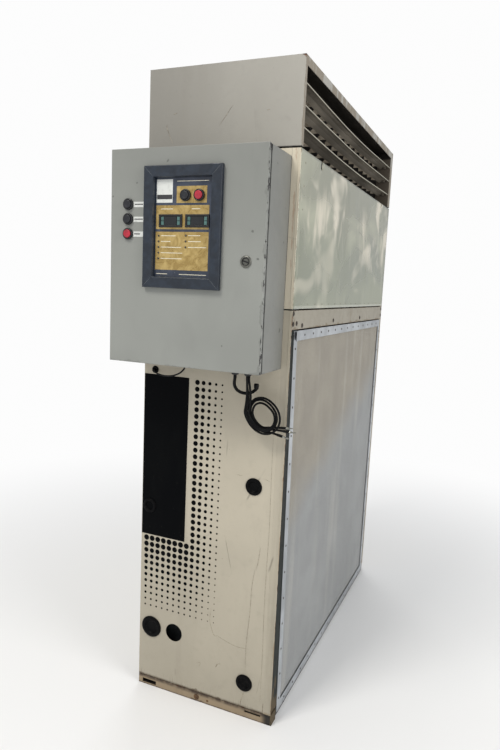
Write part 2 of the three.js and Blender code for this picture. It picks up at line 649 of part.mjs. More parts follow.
function addGlands() {
  const top = BOX.bottom - GAP;
  const bottom = top - GLAND.length;
  const edge = 14;
  const plate = box(
    LOOP_EXIT.x - edge,
    SUPPLY_EXIT.x + edge,
    LOOP_EXIT.y - edge,
    LOOP_EXIT.y + edge,
    top - 3,
    top,
  );
  const boss = (exit) => rod('z', GLAND.radius, bottom, top - 1, exit.x, exit.y, 6);
  addPart('cable_glands', join(plate, boss(SUPPLY_EXIT), boss(LOOP_EXIT)), BLACK_PLASTIC());
}

function addCables() {
  const start = BOX.bottom - GAP - GLAND.length - 1;
  const { coilX, coilY, coilZ, coilMean, coilSection, bundle } = SUPPLY;

  const section = (radius) => {
    const points = Array.from({ length: 9 }, (_, i) => {
      const angle = (2 * Math.PI * (i % 8)) / 8;
      return new THREE.Vector2(coilMean + radius * Math.cos(angle), radius * Math.sin(angle));
    });
    return new THREE.LatheGeometry(points, 28).translate(coilX, coilY, coilZ);
  };
  addPart('supply_coil', section(coilSection), RUBBER());
  const clearance = section(coilSection + 0.5);

  const drop = [
    [SUPPLY_EXIT.x, SUPPLY_EXIT.y, start],
    [SUPPLY_EXIT.x, SUPPLY_EXIT.y, start - 14],
    [SUPPLY_EXIT.x, -629, 1004],
    [138, -618, 988],
    [141, coilY, coilZ + 32],
  ];
  addPart('supply_drop', cut(tube(drop, bundle, 8, 8), clearance), RUBBER());

  const tail = [
    [coilX + 30, coilY, coilZ - 50],
    [coilX + 50, coilY - 1, coilZ - 45],
    [coilX + 72, coilY - 2, coilZ - 41],
    [coilX + 92, coilY - 3, coilZ - 40],
  ];
  addPart('supply_tail', cut(tube(tail, TAIL_BUNDLE, 8, 5), clearance), RUBBER());

  const loop = [
    [LOOP_EXIT.x, LOOP_EXIT.y, start],
    [LOOP_EXIT.x, LOOP_EXIT.y, start - 8],
    [93, -632, 1013],
    [95, -620, 998],
    [108, -612, 988],
    [122, -603, 987],
    [138, -597, 992],
    [148, -597, 1002],
    [150, -600, 1014],
  ];
  addPart('loop_cable', tube(loop, LOOP_DIAMETER, 8, 12), RUBBER());

  const lead = [
    [SENSOR_HOLE.x, FRONT + 12, SENSOR_HOLE.z],
    [SENSOR_HOLE.x, FRONT - 6, SENSOR_HOLE.z - 1],
    [SENSOR_HOLE.x + 12, FRONT - 16, SENSOR_HOLE.z - 7],
    [-148, FRONT - 26, 1006],
    [-112, FRONT - 38, 1010],
    [-80, FRONT - 50, 1022],
    [LEAD_TOP_X - 2, FRONT - 59, 1038],
    [LEAD_TOP_X, FRONT - 60, 1048],
    [LEAD_TOP_X, FRONT - 60, BOX.bottom - 1],
  ];
  addPart('sensor_lead', tube(lead, LEAD_DIAMETER, 8, 24), RUBBER());
}

// ---------------------------------------------------------------- assembly

addBase();
addPosts();
addFrontPanels();
addGrommets();
addSidePanels();
addFilter();
addCondenser();
addFanDeck();
addFan('front', -FAN.y);
addFan('rear', FAN.y);
addCompressor();
addWaterCircuit();
addHood();
addOutletBlades();
addVaneBanks();
addEnclosureBody();
addHinge();
addDoor();
addLock();
addWindow();
addControllers();
addButtons();
addGlands();
addCables();

export default unit;
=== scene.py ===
import math

import bmesh
import bpy
from mathutils import Matrix, Vector, noise


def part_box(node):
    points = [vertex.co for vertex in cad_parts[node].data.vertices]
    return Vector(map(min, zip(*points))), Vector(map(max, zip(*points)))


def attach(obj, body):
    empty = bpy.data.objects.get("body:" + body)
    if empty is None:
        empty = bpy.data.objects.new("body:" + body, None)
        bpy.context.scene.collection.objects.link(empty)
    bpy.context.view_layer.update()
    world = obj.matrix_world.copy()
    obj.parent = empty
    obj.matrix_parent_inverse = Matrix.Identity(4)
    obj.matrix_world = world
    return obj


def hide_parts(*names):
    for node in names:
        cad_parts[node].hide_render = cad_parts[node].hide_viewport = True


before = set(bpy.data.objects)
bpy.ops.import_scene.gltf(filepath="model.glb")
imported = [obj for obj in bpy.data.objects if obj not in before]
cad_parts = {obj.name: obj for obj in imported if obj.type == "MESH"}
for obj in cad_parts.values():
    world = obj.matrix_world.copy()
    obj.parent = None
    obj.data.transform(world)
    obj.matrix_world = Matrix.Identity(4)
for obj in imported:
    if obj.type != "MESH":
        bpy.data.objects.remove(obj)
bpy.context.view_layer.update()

# A packaged air-cooled water chiller, dressed for a studio picture. Metres, +Z up, front towards -Y,
# air side towards +X: the frame of the CAD model.

X, Y, Z = 0, 1, 2

# ---------------------------------------------------------------- places taken from the frame

LOWER_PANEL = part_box("front_lower_panel")
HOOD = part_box("hood_shell")
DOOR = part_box("enclosure_door")
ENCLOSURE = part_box("enclosure_body")
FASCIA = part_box("control_fascia")
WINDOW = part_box("window_frame")
SIDE_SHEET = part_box("right_upper_panel")
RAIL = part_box("side_cross_rail")
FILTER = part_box("filter_frame")
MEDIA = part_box("filter_media")
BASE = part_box("base_frame")
REAR_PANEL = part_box("rear_panel")
LEFT_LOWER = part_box("left_lower_panel")
LEFT_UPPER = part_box("left_upper_panel")

FRONT = LOWER_PANEL[0].y
LEFT = LOWER_PANEL[0].x
RIGHT = FILTER[1].x
DOOR_FACE = DOOR[0].y


# The outlet's blades, and the reveal beside them, which gets a lighter painted shade than the rest of the
# hood's inside.
BLADE_AXIS_X = 0.2045
BLADE_TOP = 1.788
BLADE_PITCH = 0.054
REVEAL_FRONT = 0.1695
REVEAL_TOP = 1.822
VANE_DEPTH = 0.040
HALF_SPAN = 0.54


def middle(node):
    low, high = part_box(node)
    return (low + high) / 2


# ---------------------------------------------------------------- camera, lights and floor

CAMERA_PLACE = (0.7728, -2.0875, 1.2679)
CAMERA_TURN = math.radians(22.594)
CAMERA_TILT = math.radians(81.513)
CAMERA_ROLL = math.radians(2.725)
LENS = 29.131
SHIFT = (-0.01213, 0.00508)


def add_camera():
    data = bpy.data.cameras.new("camera")
    data.lens = LENS
    data.sensor_width = 36
    data.shift_x, data.shift_y = SHIFT
    camera = bpy.data.objects.new("camera", data)
    bpy.context.scene.collection.objects.link(camera)
    turn = Matrix.Rotation(CAMERA_TURN, 4, "Z")
    tilt = Matrix.Rotation(CAMERA_TILT, 4, "X")
    roll = Matrix.Rotation(CAMERA_ROLL, 4, "Z")
    camera.matrix_world = Matrix.Translation(CAMERA_PLACE) @ turn @ tilt @ roll
    bpy.context.scene.camera = camera


def add_light(name, place, target, size, power, colour=(1, 1, 1)):
    data = bpy.data.lights.new(name, "AREA")
    data.shape = "RECTANGLE"
    data.size, data.size_y = size
    data.energy = power
    data.color = colour
    light = bpy.data.objects.new(name, data)
    bpy.context.scene.collection.objects.link(light)
    light.location = place
    light.rotation_euler = (Vector(target) - Vector(place)).to_track_quat("-Z", "Y").to_euler()


def add_studio():
    scene = bpy.context.scene
    scene.view_settings.view_transform = "Standard"
    world = bpy.data.worlds.new("studio")
    world.use_nodes = True
    tree = world.node_tree
    ambient = tree.nodes["Background"]
    ambient.inputs["Color"].default_value = (0.96, 0.98, 1.0, 1)
    ambient.inputs["Strength"].default_value = 0.55
    backdrop = tree.nodes.new("ShaderNodeBackground")
    backdrop.inputs["Strength"].default_value = 0.98
    backdrop.inputs["Color"].default_value = (1, 1, 1, 1)
    seen = tree.nodes.new("ShaderNodeLightPath").outputs["Is Camera Ray"]
    pick = tree.nodes.new("ShaderNodeMixShader")
    tree.links.new(seen, pick.inputs[0])
    tree.links.new(ambient.outputs[0], pick.inputs[1])
    tree.links.new(backdrop.outputs[0], pick.inputs[2])
    tree.links.new(pick.outputs[0], tree.nodes["World Output"].inputs["Surface"])
    scene.world = world
    add_light("key", (-1.1, -3.1, 4.6), (0, -0.2, 1.0), (1.4, 1.4), 118, (1, 0.97, 0.92))
    add_light("side", (3.4, -1.4, 2.2), (0.2, 0, 1.1), (2.0, 1.8), 62, (1, 0.98, 0.95))
    add_light("back", (-1.2, 3.2, 3.0), (0, 0, 1.0), (2.5, 1.5), 40)

    floor = bpy.data.meshes.new("floor")
    reach = 14
    floor.from_pydata([(-reach, -reach, 0), (reach, -reach, 0), (reach, reach, 0), (-reach, reach, 0)], [],
                      [(0, 1, 2, 3)])
    ground = bpy.data.objects.new("floor", floor)
    scene.collection.objects.link(ground)
    pale = bpy.data.materials.new("floor")
    pale.use_nodes = True
    tree = pale.node_tree
    shader = tree.nodes["Principled BSDF"]
    shader.inputs["Base Color"].default_value = (0.84, 0.84, 0.84, 1)
    shader.inputs["Roughness"].default_value = 0.9
    away = tree.nodes.new("ShaderNodeVectorMath")
    away.operation = "LENGTH"
    tree.links.new(tree.nodes.new("ShaderNodeTexCoord").outputs["Object"], away.inputs[0])
    haze = tree.nodes.new("ShaderNodeMapRange")
    haze.interpolation_type = "SMOOTHSTEP"
    haze.inputs["From Min"].default_value = 0.7
    haze.inputs["From Max"].default_value = 2.6
    glow = tree.nodes.new("ShaderNodeEmission")
    glow.inputs["Strength"].default_value = 0.98
    fading = tree.nodes.new("ShaderNodeMixShader")
    tree.links.new(away.outputs["Value"], haze.inputs["Value"])
    tree.links.new(haze.outputs["Result"], fading.inputs[0])
    tree.links.new(shader.outputs[0], fading.inputs[1])
    tree.links.new(glow.outputs[0], fading.inputs[2])
    tree.links.new(fading.outputs[0], tree.nodes["Material Output"].inputs["Surface"])
    floor.materials.append(pale)


# ---------------------------------------------------------------- materials

def srgb(red, green, blue):
    """A colour given by display values of 0 to 255, as linear RGBA."""
    def linear(value):
        value /= 255
        return value / 12.92 if value <= 0.04045 else ((value + 0.055) / 1.055) ** 2.4
    return (linear(red), linear(green), linear(blue), 1.0)


def shade(colour, factor):
    return tuple(min(1, c * factor) for c in colour[:3]) + (1.0,)


class Look:
    """A Principled material whose sockets are fed by short chains of nodes."""

    def __init__(self, name, **sockets):
        self.material = bpy.data.materials.new(name)
        self.material.use_nodes = True
        self.tree = self.material.node_tree
        self.shader = self.tree.nodes["Principled BSDF"]
        for socket, value in sockets.items():
            self.shader.inputs[socket.replace("_", " ").title().replace("Ior", "IOR")].default_value = value
        self.place = self.node("ShaderNodeTexCoord").outputs["Object"]
        spread = self.node("ShaderNodeSeparateXYZ", {0: self.place})
        self.axis = [spread.outputs[i] for i in range(3)]

    def node(self, kind, inputs=None, **settings):
        made = self.tree.nodes.new(kind)
        for key, value in settings.items():
            setattr(made, key, value)
        for socket, value in (inputs or {}).items():
            self.feed(made.inputs[socket], value)
        return made

    def feed(self, socket, value):
        if isinstance(value, bpy.types.NodeSocket):
            self.tree.links.new(value, socket)
        else:
            socket.default_value = value

    def stretched(self, stretch):
        if stretch is None:
            return self.place
        return self.node("ShaderNodeMapping", {"Vector": self.place, "Scale": stretch}).outputs[0]

    def noise(self, scale, detail=3.0, roughness=0.5, stretch=None, distortion=0.0):
        inputs = {"Vector": self.stretched(stretch), "Scale": scale, "Detail": detail,
                  "Roughness": roughness, "Distortion": distortion}
        return self.node("ShaderNodeTexNoise", inputs).outputs[0]

    def cells(self, scale, feature="F1", stretch=None, randomness=1.0):
        inputs = {"Vector": self.stretched(stretch), "Scale": scale, "Randomness": randomness}
        return self.node("ShaderNodeTexVoronoi", inputs, feature=feature).outputs["Distance"]

    def wave(self, scale, direction="X", distortion=0.0, stretch=None):
        inputs = {"Vector": self.stretched(stretch), "Scale": scale, "Distortion": distortion}
        return self.node("ShaderNodeTexWave", inputs, bands_direction=direction).outputs["Fac"]

    def math(self, operation, a, b=0.0):
        return self.node("ShaderNodeMath", {0: a, 1: b}, operation=operation).outputs[0]

    def fade(self, value, low, high, start=0.0, end=1.0):
        inputs = {"Value": value, "From Min": low, "From Max": high, "To Min": start, "To Max": end}
        return self.node("ShaderNodeMapRange", inputs, interpolation_type="SMOOTHSTEP").outputs["Result"]

    def blend(self, factor, a, b):
        return self.node("ShaderNodeMix", {0: factor, 6: a, 7: b}, data_type="RGBA").outputs[2]

    def over(self, tone, colour, patches, *scale, **stretch):
        """The tone with patches of another colour. The patches are (start, full, most) of a noise."""
        start, full, most = patches
        return self.blend(self.fade(self.noise(*scale, **stretch), start, full, 0, most), tone, colour)

    def swept(self, tone, axis, start, end, factor):
        """The tone darkened by a factor at one place along an axis, fading out to another."""
        dark = self.node("ShaderNodeMix", {0: 1.0, 6: tone, 7: (factor, factor, factor, 1)},
                         data_type="RGBA", blend_type="MULTIPLY").outputs[2]
        low, high = min(start, end), max(start, end)
        ends = (1.0, 0.0) if start < end else (0.0, 1.0)
        return self.blend(self.fade(self.axis[axis], low, high, *ends), tone, dark)

    def bump(self, height, distance, strength=1.0, under=None):
        inputs = {"Height": height, "Distance": distance, "Strength": strength}
        if under is not None:
            inputs["Normal"] = under
        return self.node("ShaderNodeBump", inputs).outputs[0]

    def done(self, colour=None, roughness=None, normal=None, metallic=None):
        for socket, value in (("Base Color", colour), ("Roughness", roughness), ("Normal", normal),
                              ("Metallic", metallic)):
            if value is not None:
                self.feed(self.shader.inputs[socket], value)
        return self.material

    def nearness(self, borders):
        """0 on a border and 1 at its reach. A border is (axis, place, reach); a list of them is a corner."""
        closest = None
        for border in borders:
            parts = border if isinstance(border, list) else [border]
            ratio = None
            for axis, place, reach in parts:
                away = self.math("ABSOLUTE", self.math("SUBTRACT", self.axis[axis], place))
                share = self.math("DIVIDE", away, reach)
                ratio = share if ratio is None else self.math("MAXIMUM", ratio, share)
            closest = ratio if closest is None else self.math("MINIMUM", closest, ratio)
        return closest

    def worn(self, borders, patchy=38.0, amount=0.0, stretch=None):
        """1 in patches that are dense on the borders and gone at their reach."""
        patches = self.noise(patchy, detail=7, roughness=0.68, stretch=stretch)
        level = self.math("SUBTRACT", patches, self.math("MULTIPLY", self.nearness(borders), 0.42))
        return self.fade(level, 0.5 - amount, 0.56 - amount)

    def lined(self, borders, patchy=55.0):
        """1 on the borders, fading out evenly over their reach and a little broken along them."""
        along = self.fade(self.noise(patchy, detail=5, roughness=0.6), 0.3, 0.58, 0.45, 1.0)
        return self.math("MULTIPLY", self.fade(self.nearness(borders), 0.15, 1.0, 1.0, 0.0), along)

    def outside(self, low, high, skin=0.0013):
        """1 on the outer skin of a box and 0 deeper inside it."""
        depth = None
        for axis in (X, Y, Z):
            for place, sign in ((low[axis], 1), (high[axis], -1)):
                inward = self.math("MULTIPLY", self.math("SUBTRACT", self.axis[axis], place), sign)
                depth = inward if depth is None else self.math("MINIMUM", depth, inward)
        return self.math("LESS_THAN", depth, skin)


RUST_DARK = srgb(66, 44, 32)
RUST_LIGHT = srgb(134, 86, 52)
GRIME = srgb(112, 98, 78)
# Painted shade for the insides of boxes; also the dark seam line under the hood.
SHADE_AND_SEAM_DARK = srgb(34, 31, 28)
BROWN_DIRT = srgb(92, 76, 58)


def paint(name, colour, rust=(), stain=(), streaks=0.3, cracks=0.6, gloss=0.42, inside=None,
          stain_colour=GRIME, sweep=None, lines=(), line_colour=RUST_DARK, hairs=None, shine=0.45,
          reveal=None):
    """Old enamel on sheet metal: uneven, streaked, hairline-scratched, stained and rusty near borders. A
    sweep darkens it along an axis; inside a given box it gets painted shade, lighter on a reveal.
    """
    look = Look(name, metallic=0.0, specular_ior_level=shine)
    drift = look.noise(2.6, detail=4, distortion=0.6)
    tone = look.blend(look.fade(drift, 0.32, 0.7), shade(colour, 0.93), shade(colour, 1.05))
    mottle = look.noise(34, detail=6, roughness=0.62)
    tone = look.blend(look.fade(mottle, 0.5, 0.78, 0, 0.3), tone, shade(colour, 0.8))
    tone = look.over(tone, GRIME, (0.54, 0.8, streaks), 15, detail=6, roughness=0.6, stretch=(1, 1, 0.055))
    tone = look.over(tone, shade(colour, 0.45), (0.72, 0.77, 0.55), 240, detail=2, roughness=0.5)
    edges = look.cells(5.2, feature="DISTANCE_TO_EDGE", stretch=(1, 1, 0.45))
    hairline = look.fade(edges, 0.0025, 0.0075, 1, 0)
    sparse = look.fade(look.noise(6.5, detail=3), 0.57, 0.64, 0, cracks)
    hairline = look.math("MULTIPLY", hairline, sparse)
    tone = look.blend(hairline, tone, shade(colour, 0.42))
    rough = look.fade(mottle, 0.3, 0.8, gloss - 0.06, gloss + 0.12)
    height = look.math("MULTIPLY", look.noise(420, detail=2), 0.3)
    if stain:
        dirty = look.math("MULTIPLY", look.worn(stain, patchy=20, amount=0.05, stretch=(1, 1, 0.35)), 0.62)
        tone = look.blend(dirty, tone, stain_colour)
        rough = look.math("ADD", rough, look.math("MULTIPLY", dirty, 0.25))
    if rust:
        rusty = look.worn(rust)
        metal = look.blend(look.fade(look.noise(130, detail=4), 0.4, 0.65), RUST_DARK, RUST_LIGHT)
        tone = look.blend(rusty, tone, metal)
        rough = look.math("ADD", rough, look.math("MULTIPLY", rusty, 0.35))
        height = look.math("SUBTRACT", height, look.math("MULTIPLY", rusty, 1.0))
    if hairs:
        hair = look.fade(look.noise(190, detail=4, roughness=0.65, stretch=(1, 1, 0.11)), 0.54, 0.68, 0, 0.4)
        near = look.fade(look.nearness([hairs]), 0.0, 1.0, 1.0, 0.0)
        tone = look.blend(look.math("MULTIPLY", hair, near), tone, line_colour)
    if lines:
        tone = look.blend(look.math("MULTIPLY", look.lined(lines), 0.9), tone, line_colour)
    if sweep:
        tone = look.swept(tone, *sweep)
    # Painted shade: all but the outer skin of the box is darkened, with a lighter painted shade on the
    # reveal.
    if inside is not None:
        skin = look.outside(*inside)
        inside_shade = look.blend(look.fade(mottle, 0.4, 0.7), SHADE_AND_SEAM_DARK, shade(SHADE_AND_SEAM_DARK, 2.0))
        if reveal:
            x, z = reveal
            near = look.math("MULTIPLY", look.math("GREATER_THAN", look.axis[X], x),
                             look.math("LESS_THAN", look.axis[Z], z))
            inside_shade = look.blend(near, inside_shade, srgb(84, 77, 68))
        tone = look.blend(skin, inside_shade, tone)
    return look.done(tone, rough, look.bump(height, 0.00025))


CREAM = srgb(186, 178, 160)
HOOD_CREAM = srgb(157, 154, 146)


def cream_materials():
    made = {}
    low, high = LOWER_PANEL
    # The sweep is painted shade, darker towards the bottom of the front.
    made["front"] = paint(
        "cream_front", CREAM,
        rust=[(Z, low.z, 0.005), (X, low.x, 0.002)],
        stain=[[(X, high.x, 0.010), (Z, low.z, 0.42)], (Z, low.z, 0.026)],
        stain_colour=BROWN_DIRT, streaks=0.22,
        sweep=(Z, 0.0, 1.0, 0.84), lines=[(Z, low.z, 0.008)], line_colour=BROWN_DIRT, hairs=(Z, low.z, 0.03))
    trim_low, trim_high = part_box("front_edge_trim")
    # The trim's sweep is painted shade too, darker towards the bottom.
    made["trim"] = paint(
        "cream_trim", shade(CREAM, 0.94),
        rust=[(X, trim_high.x, 0.003), (Z, trim_low.z, 0.02)],
        stain=[(X, trim_high.x, 0.012), (Z, trim_low.z, 0.05)],
        stain_colour=srgb(146, 126, 98), streaks=0.5, sweep=(Z, 0.0, 1.0, 0.86))
    # The hood's sweep is painted shade, darker towards its left; its inside is painted shade, lighter on the
    # reveal.
    made["hood"] = paint(
        "cream_hood", HOOD_CREAM,
        rust=[[(Z, HOOD[1].z, 0.002), (X, RIGHT, 0.005)], [(Z, HOOD[1].z, 0.002), (Y, HOOD[0].y, 0.005)],
              [(X, RIGHT, 0.07), (Z, HOOD[1].z, 0.08), (Y, HOOD[0].y, 0.05)],
              [(X, LEFT, 0.040), (Z, HOOD[1].z, 0.010)]],
        stain=[(X, RIGHT, 0.008)], inside=HOOD, gloss=0.38, streaks=0.05, cracks=0.15,
        reveal=(REVEAL_FRONT, REVEAL_TOP),
        sweep=(X, LEFT, RIGHT, 0.74), lines=[(Z, HOOD[0].z, 0.0028)], line_colour=SHADE_AND_SEAM_DARK)
    # A lighter copy of the cream: painted light on the strip beside the enclosure, which the enclosure
    # shades.
    made["upper"] = paint(
        "cream_upper", shade(CREAM, 1.24),
        rust=[(X, RIGHT, 0.003), (Z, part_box("front_upper_panel")[1].z, 0.003)],
        stain=[(X, RIGHT - 0.012, 0.018), (Z, RAIL[1].z, 0.02)], streaks=0.9, cracks=0.2,
        stain_colour=srgb(168, 138, 114))
    made["rail"] = paint(
        "cream_rail", srgb(143, 137, 123),
        rust=[(Z, RAIL[0].z, 0.005), (Z, RAIL[1].z, 0.004), (Y, RAIL[0].y, 0.006)],
        stain=[(Z, RAIL[0].z, 0.02), (Y, RAIL[0].y, 0.05), (Y, RAIL[1].y, 0.05)], streaks=0.5)
    made["side"] = paint(
        "cream_side", shade(CREAM, 0.95),
        rust=[(Z, LEFT_LOWER[0].z, 0.012), (Y, LEFT_LOWER[0].y, 0.005), (Y, LEFT_LOWER[1].y, 0.005)],
        stain=[(Z, LEFT_LOWER[0].z, 0.06), (Y, LEFT_LOWER[0].y, 0.02), (Y, LEFT_LOWER[1].y, 0.02)])
    made["rear"] = paint(
        "cream_rear", shade(CREAM, 0.93),
        rust=[(Z, REAR_PANEL[0].z, 0.012), (X, LEFT, 0.005), (X, RIGHT, 0.005)],
        stain=[(Z, REAR_PANEL[0].z, 0.06), (X, LEFT, 0.02), (X, RIGHT, 0.02)])
    # Painted shade inside the base. The dark stain and line along its top are partly rust and partly painted
    # shadow under the front panel's edge.
    made["base"] = paint(
        "cream_base", srgb(154, 136, 110),
        rust=[(Z, BASE[1].z, 0.008), (Z, BASE[0].z, 0.005)],
        stain=[(Z, BASE[1].z, 0.030), (Z, BASE[0].z, 0.020)], stain_colour=srgb(84, 66, 48), streaks=0.6,
        sweep=(X, BASE[1].x - 0.010, BASE[1].x - 0.035, 0.05), inside=BASE,
        lines=[(Z, BASE[1].z, 0.014), (Z, BASE[0].z, 0.005)], line_colour=srgb(58, 44, 34))
    made["post"] = paint("cream_post", shade(CREAM, 0.8), streaks=0.5)
    return made


def side_sheet_material():
    """Grey-green gloss sheet with broad soft blotches and a few bright patches of painted reflection, a
    painted glint band, folds in painted shade, darker towards the bottom, and scuffs.
    """
    look = Look("side_sheet", specular_ior_level=0.55, coat_weight=0.3, coat_roughness=0.15, metallic=0.1)
    base = srgb(161, 162, 143)
    # Painted reflection: broad soft blotches, lighter and darker.
    blotch = look.noise(7, detail=3, roughness=0.45, stretch=(1, 0.45, 0.8), distortion=0.7)
    tone = look.blend(look.fade(blotch, 0.38, 0.66), shade(base, 0.72), shade(base, 1.14))
    ragged = look.math("ADD", look.axis[Z], look.math("MULTIPLY", blotch, 0.12))
    lower = look.fade(ragged, 1.42, 1.56, 0.55, 0.0)
    tone = look.blend(lower, tone, srgb(124, 130, 112))
    # Painted reflection: bright patches, mostly up high.
    bright = look.noise(9, detail=2, roughness=0.45, stretch=(1, 0.5, 0.7), distortion=0.9)
    share = look.fade(look.axis[Z], 1.36, 1.48, 0.35, 0.85)
    tone = look.blend(look.math("MULTIPLY", look.fade(bright, 0.52, 0.69), share), tone, srgb(224, 216, 197))
    # Painted reflection: a band of glints.
    glint = look.noise(20, detail=3, roughness=0.5, stretch=(1, 0.6, 0.3), distortion=0.6)
    band = look.fade(look.math("ABSOLUTE", look.math("SUBTRACT", look.axis[Z], 1.47)), 0.02, 0.12, 0.7, 0.0)
    tone = look.blend(look.math("MULTIPLY", look.fade(glint, 0.54, 0.72), band), tone, srgb(226, 217, 198))
    # Painted shade along the folds.
    fold = look.noise(14, detail=3, roughness=0.5, stretch=(1, 0.7, 0.25), distortion=0.5)
    tone = look.blend(look.fade(fold, 0.56, 0.74, 0, 0.45), tone, srgb(112, 116, 100))
    # Pale upright streaks of painted reflection.
    tone = look.over(tone, srgb(200, 197, 178), (0.58, 0.78, 0.35), 30, detail=4, stretch=(1, 0.8, 0.12))
    low, high = SIDE_SHEET
    edge = look.worn([(Y, low.y, 0.007), (Z, low.z, 0.006), (Z, high.z, 0.004)], patchy=60)
    tone = look.blend(edge, tone, srgb(96, 88, 74))
    tone = look.over(tone, srgb(98, 98, 88), (0.7, 0.76, 0.4), 300, detail=2)
    rough = look.fade(blotch, 0.35, 0.75, 0.24, 0.4)
    return look.done(tone, rough, look.bump(look.noise(160, detail=3), 0.0002, 0.6))


def media_material():
    """Filter cloth in a fine square weave: brown dust above a slanting tide line, blue-grey below it."""
    look = Look("filter_media", roughness=0.9, sheen_weight=0.25, sheen_roughness=0.6)
    low, high = MEDIA
    run = look.math("DIVIDE", look.math("SUBTRACT", look.axis[Y], low.y), high.y - low.y)
    line = look.math("ADD", look.math("MULTIPLY", run, 0.30), 0.50)
    rise = look.math("DIVIDE", look.math("SUBTRACT", look.axis[Z], low.z), high.z - low.z)
    ragged = look.math("MULTIPLY", look.math("SUBTRACT", look.noise(4.5, detail=5), 0.5), 0.18)
    over = look.math("ADD", look.math("SUBTRACT", rise, line), ragged)
    dust = look.fade(over, -0.07, 0.12)
    brown = look.blend(look.fade(look.noise(9, detail=6), 0.35, 0.7),
                       srgb(141, 134, 120), srgb(153, 146, 131))
    grey = look.blend(look.fade(look.noise(7, detail=6), 0.35, 0.7),
                      srgb(142, 145, 146), srgb(154, 157, 158))
    tone = look.blend(dust, grey, brown)
    across = look.wave(250, "Y")
    along = look.wave(250, "Z")
    weave = look.math("MULTIPLY", across, along)
    tone = look.blend(look.fade(weave, 0.0, 0.55, 0.32, 0.0), tone, srgb(92, 88, 82))
    tone = look.over(tone, srgb(190, 186, 176), (0.52, 0.74, 0.25), 14, detail=4, stretch=(1, 1, 0.08))
    height = look.math("ADD", weave, look.math("MULTIPLY", look.noise(18, detail=5), 1.4))
    return look.done(tone, None, look.bump(height, 0.0006, 0.7))


def frame_strip_material():
    """Milled strip, dull and scuffed, with short scratches along it."""
    look = Look("filter_strip", metallic=0.3)
    base = srgb(174, 178, 182)
    drift = look.noise(11, detail=5)
    tone = look.blend(look.fade(drift, 0.35, 0.7), shade(base, 0.75), shade(base, 1.08))
    grime = look.worn([(Z, FILTER[0].z, 0.02), (Y, FILTER[0].y, 0.004), (Z, FILTER[1].z, 0.008)], patchy=70)
    tone = look.blend(grime, tone, srgb(74, 66, 56))
    scratch = look.noise(60, detail=4, stretch=(1, 6, 1))
    rough = look.fade(scratch, 0.3, 0.8, 0.34, 0.6)
    return look.done(tone, rough, look.bump(scratch, 0.0002, 0.6))


def bare_metal(name, colour, roughness=0.4, metallic=0.85, spangle=40):
    look = Look(name, metallic=metallic)
    spots = look.cells(spangle, stretch=(1, 1, 1))
    tone = look.blend(look.fade(spots, 0.1, 0.9), shade(colour, 0.82), shade(colour, 1.1))
    tone = look.over(tone, srgb(84, 78, 68), (0.52, 0.72, 0.45), 12, detail=5)
    rough = look.fade(look.noise(70, detail=4), 0.3, 0.7, roughness - 0.08, roughness + 0.14)
    return look.done(tone, rough, look.bump(look.noise(180, detail=3), 0.0002, 0.4))


def vane_material():
    """Dusty sheet vanes in painted shade, but for a painted pale wedge of light where daylight reaches above
    each blade.
    """
    look = Look("vane_dust_and_painted_light", metallic=0.1)
    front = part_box("vane_bank_front")[1].x
    dust = look.noise(26, detail=5)
    pale = look.blend(look.fade(dust, 0.35, 0.7), srgb(164, 152, 134), srgb(206, 194, 176))
    along = look.math("DIVIDE", look.axis[Y], HALF_SPAN)
    sag = look.math("MULTIPLY", look.math("SUBTRACT", 1.0, look.math("MULTIPLY", along, along)), 0.009)
    drop = look.math("SUBTRACT", BLADE_TOP, look.math("ADD", look.axis[Z], sag))
    share = look.math("FRACT", look.math("DIVIDE", drop, BLADE_PITCH))
    depth = look.math("DIVIDE", look.math("SUBTRACT", front, look.axis[X]), VANE_DEPTH)
    wedge = look.fade(look.math("SUBTRACT", share, look.math("MULTIPLY", depth, 0.6)), 0.44, 0.52)
    wedge = look.math("MULTIPLY", wedge, look.fade(look.axis[Z], 1.668, 1.676))
    # The dark colour is painted shade and the wedge is painted light.
    tone = look.blend(wedge, srgb(30, 26, 22), pale)
    return look.done(tone, look.fade(dust, 0.3, 0.7, 0.5, 0.7), look.bump(dust, 0.0003, 0.4))


def blade_material():
    """Dark bronze paint under a layer of dust, with a painted highlight along the front lip."""
    look = Look("outlet_blade", metallic=0.25)
    base = srgb(122, 115, 103)
    dust = look.noise(9, detail=6, stretch=(1, 0.5, 1))
    tone = look.blend(look.fade(dust, 0.35, 0.68), shade(base, 0.72), shade(base, 1.3))
    tone = look.over(tone, srgb(58, 53, 46), (0.5, 0.75, 0.5), 40, detail=4, stretch=(1, 0.06, 1))
    # Painted highlight along the rolled front lip.
    lip = look.fade(look.axis[X], 0.2222, 0.2240)
    tone = look.blend(look.math("MULTIPLY", lip, 0.85), tone, srgb(168, 164, 150))
    rough = look.fade(dust, 0.3, 0.7, 0.42, 0.66)
    return look.done(tone, rough, look.bump(look.noise(110, detail=4), 0.0003, 0.5))


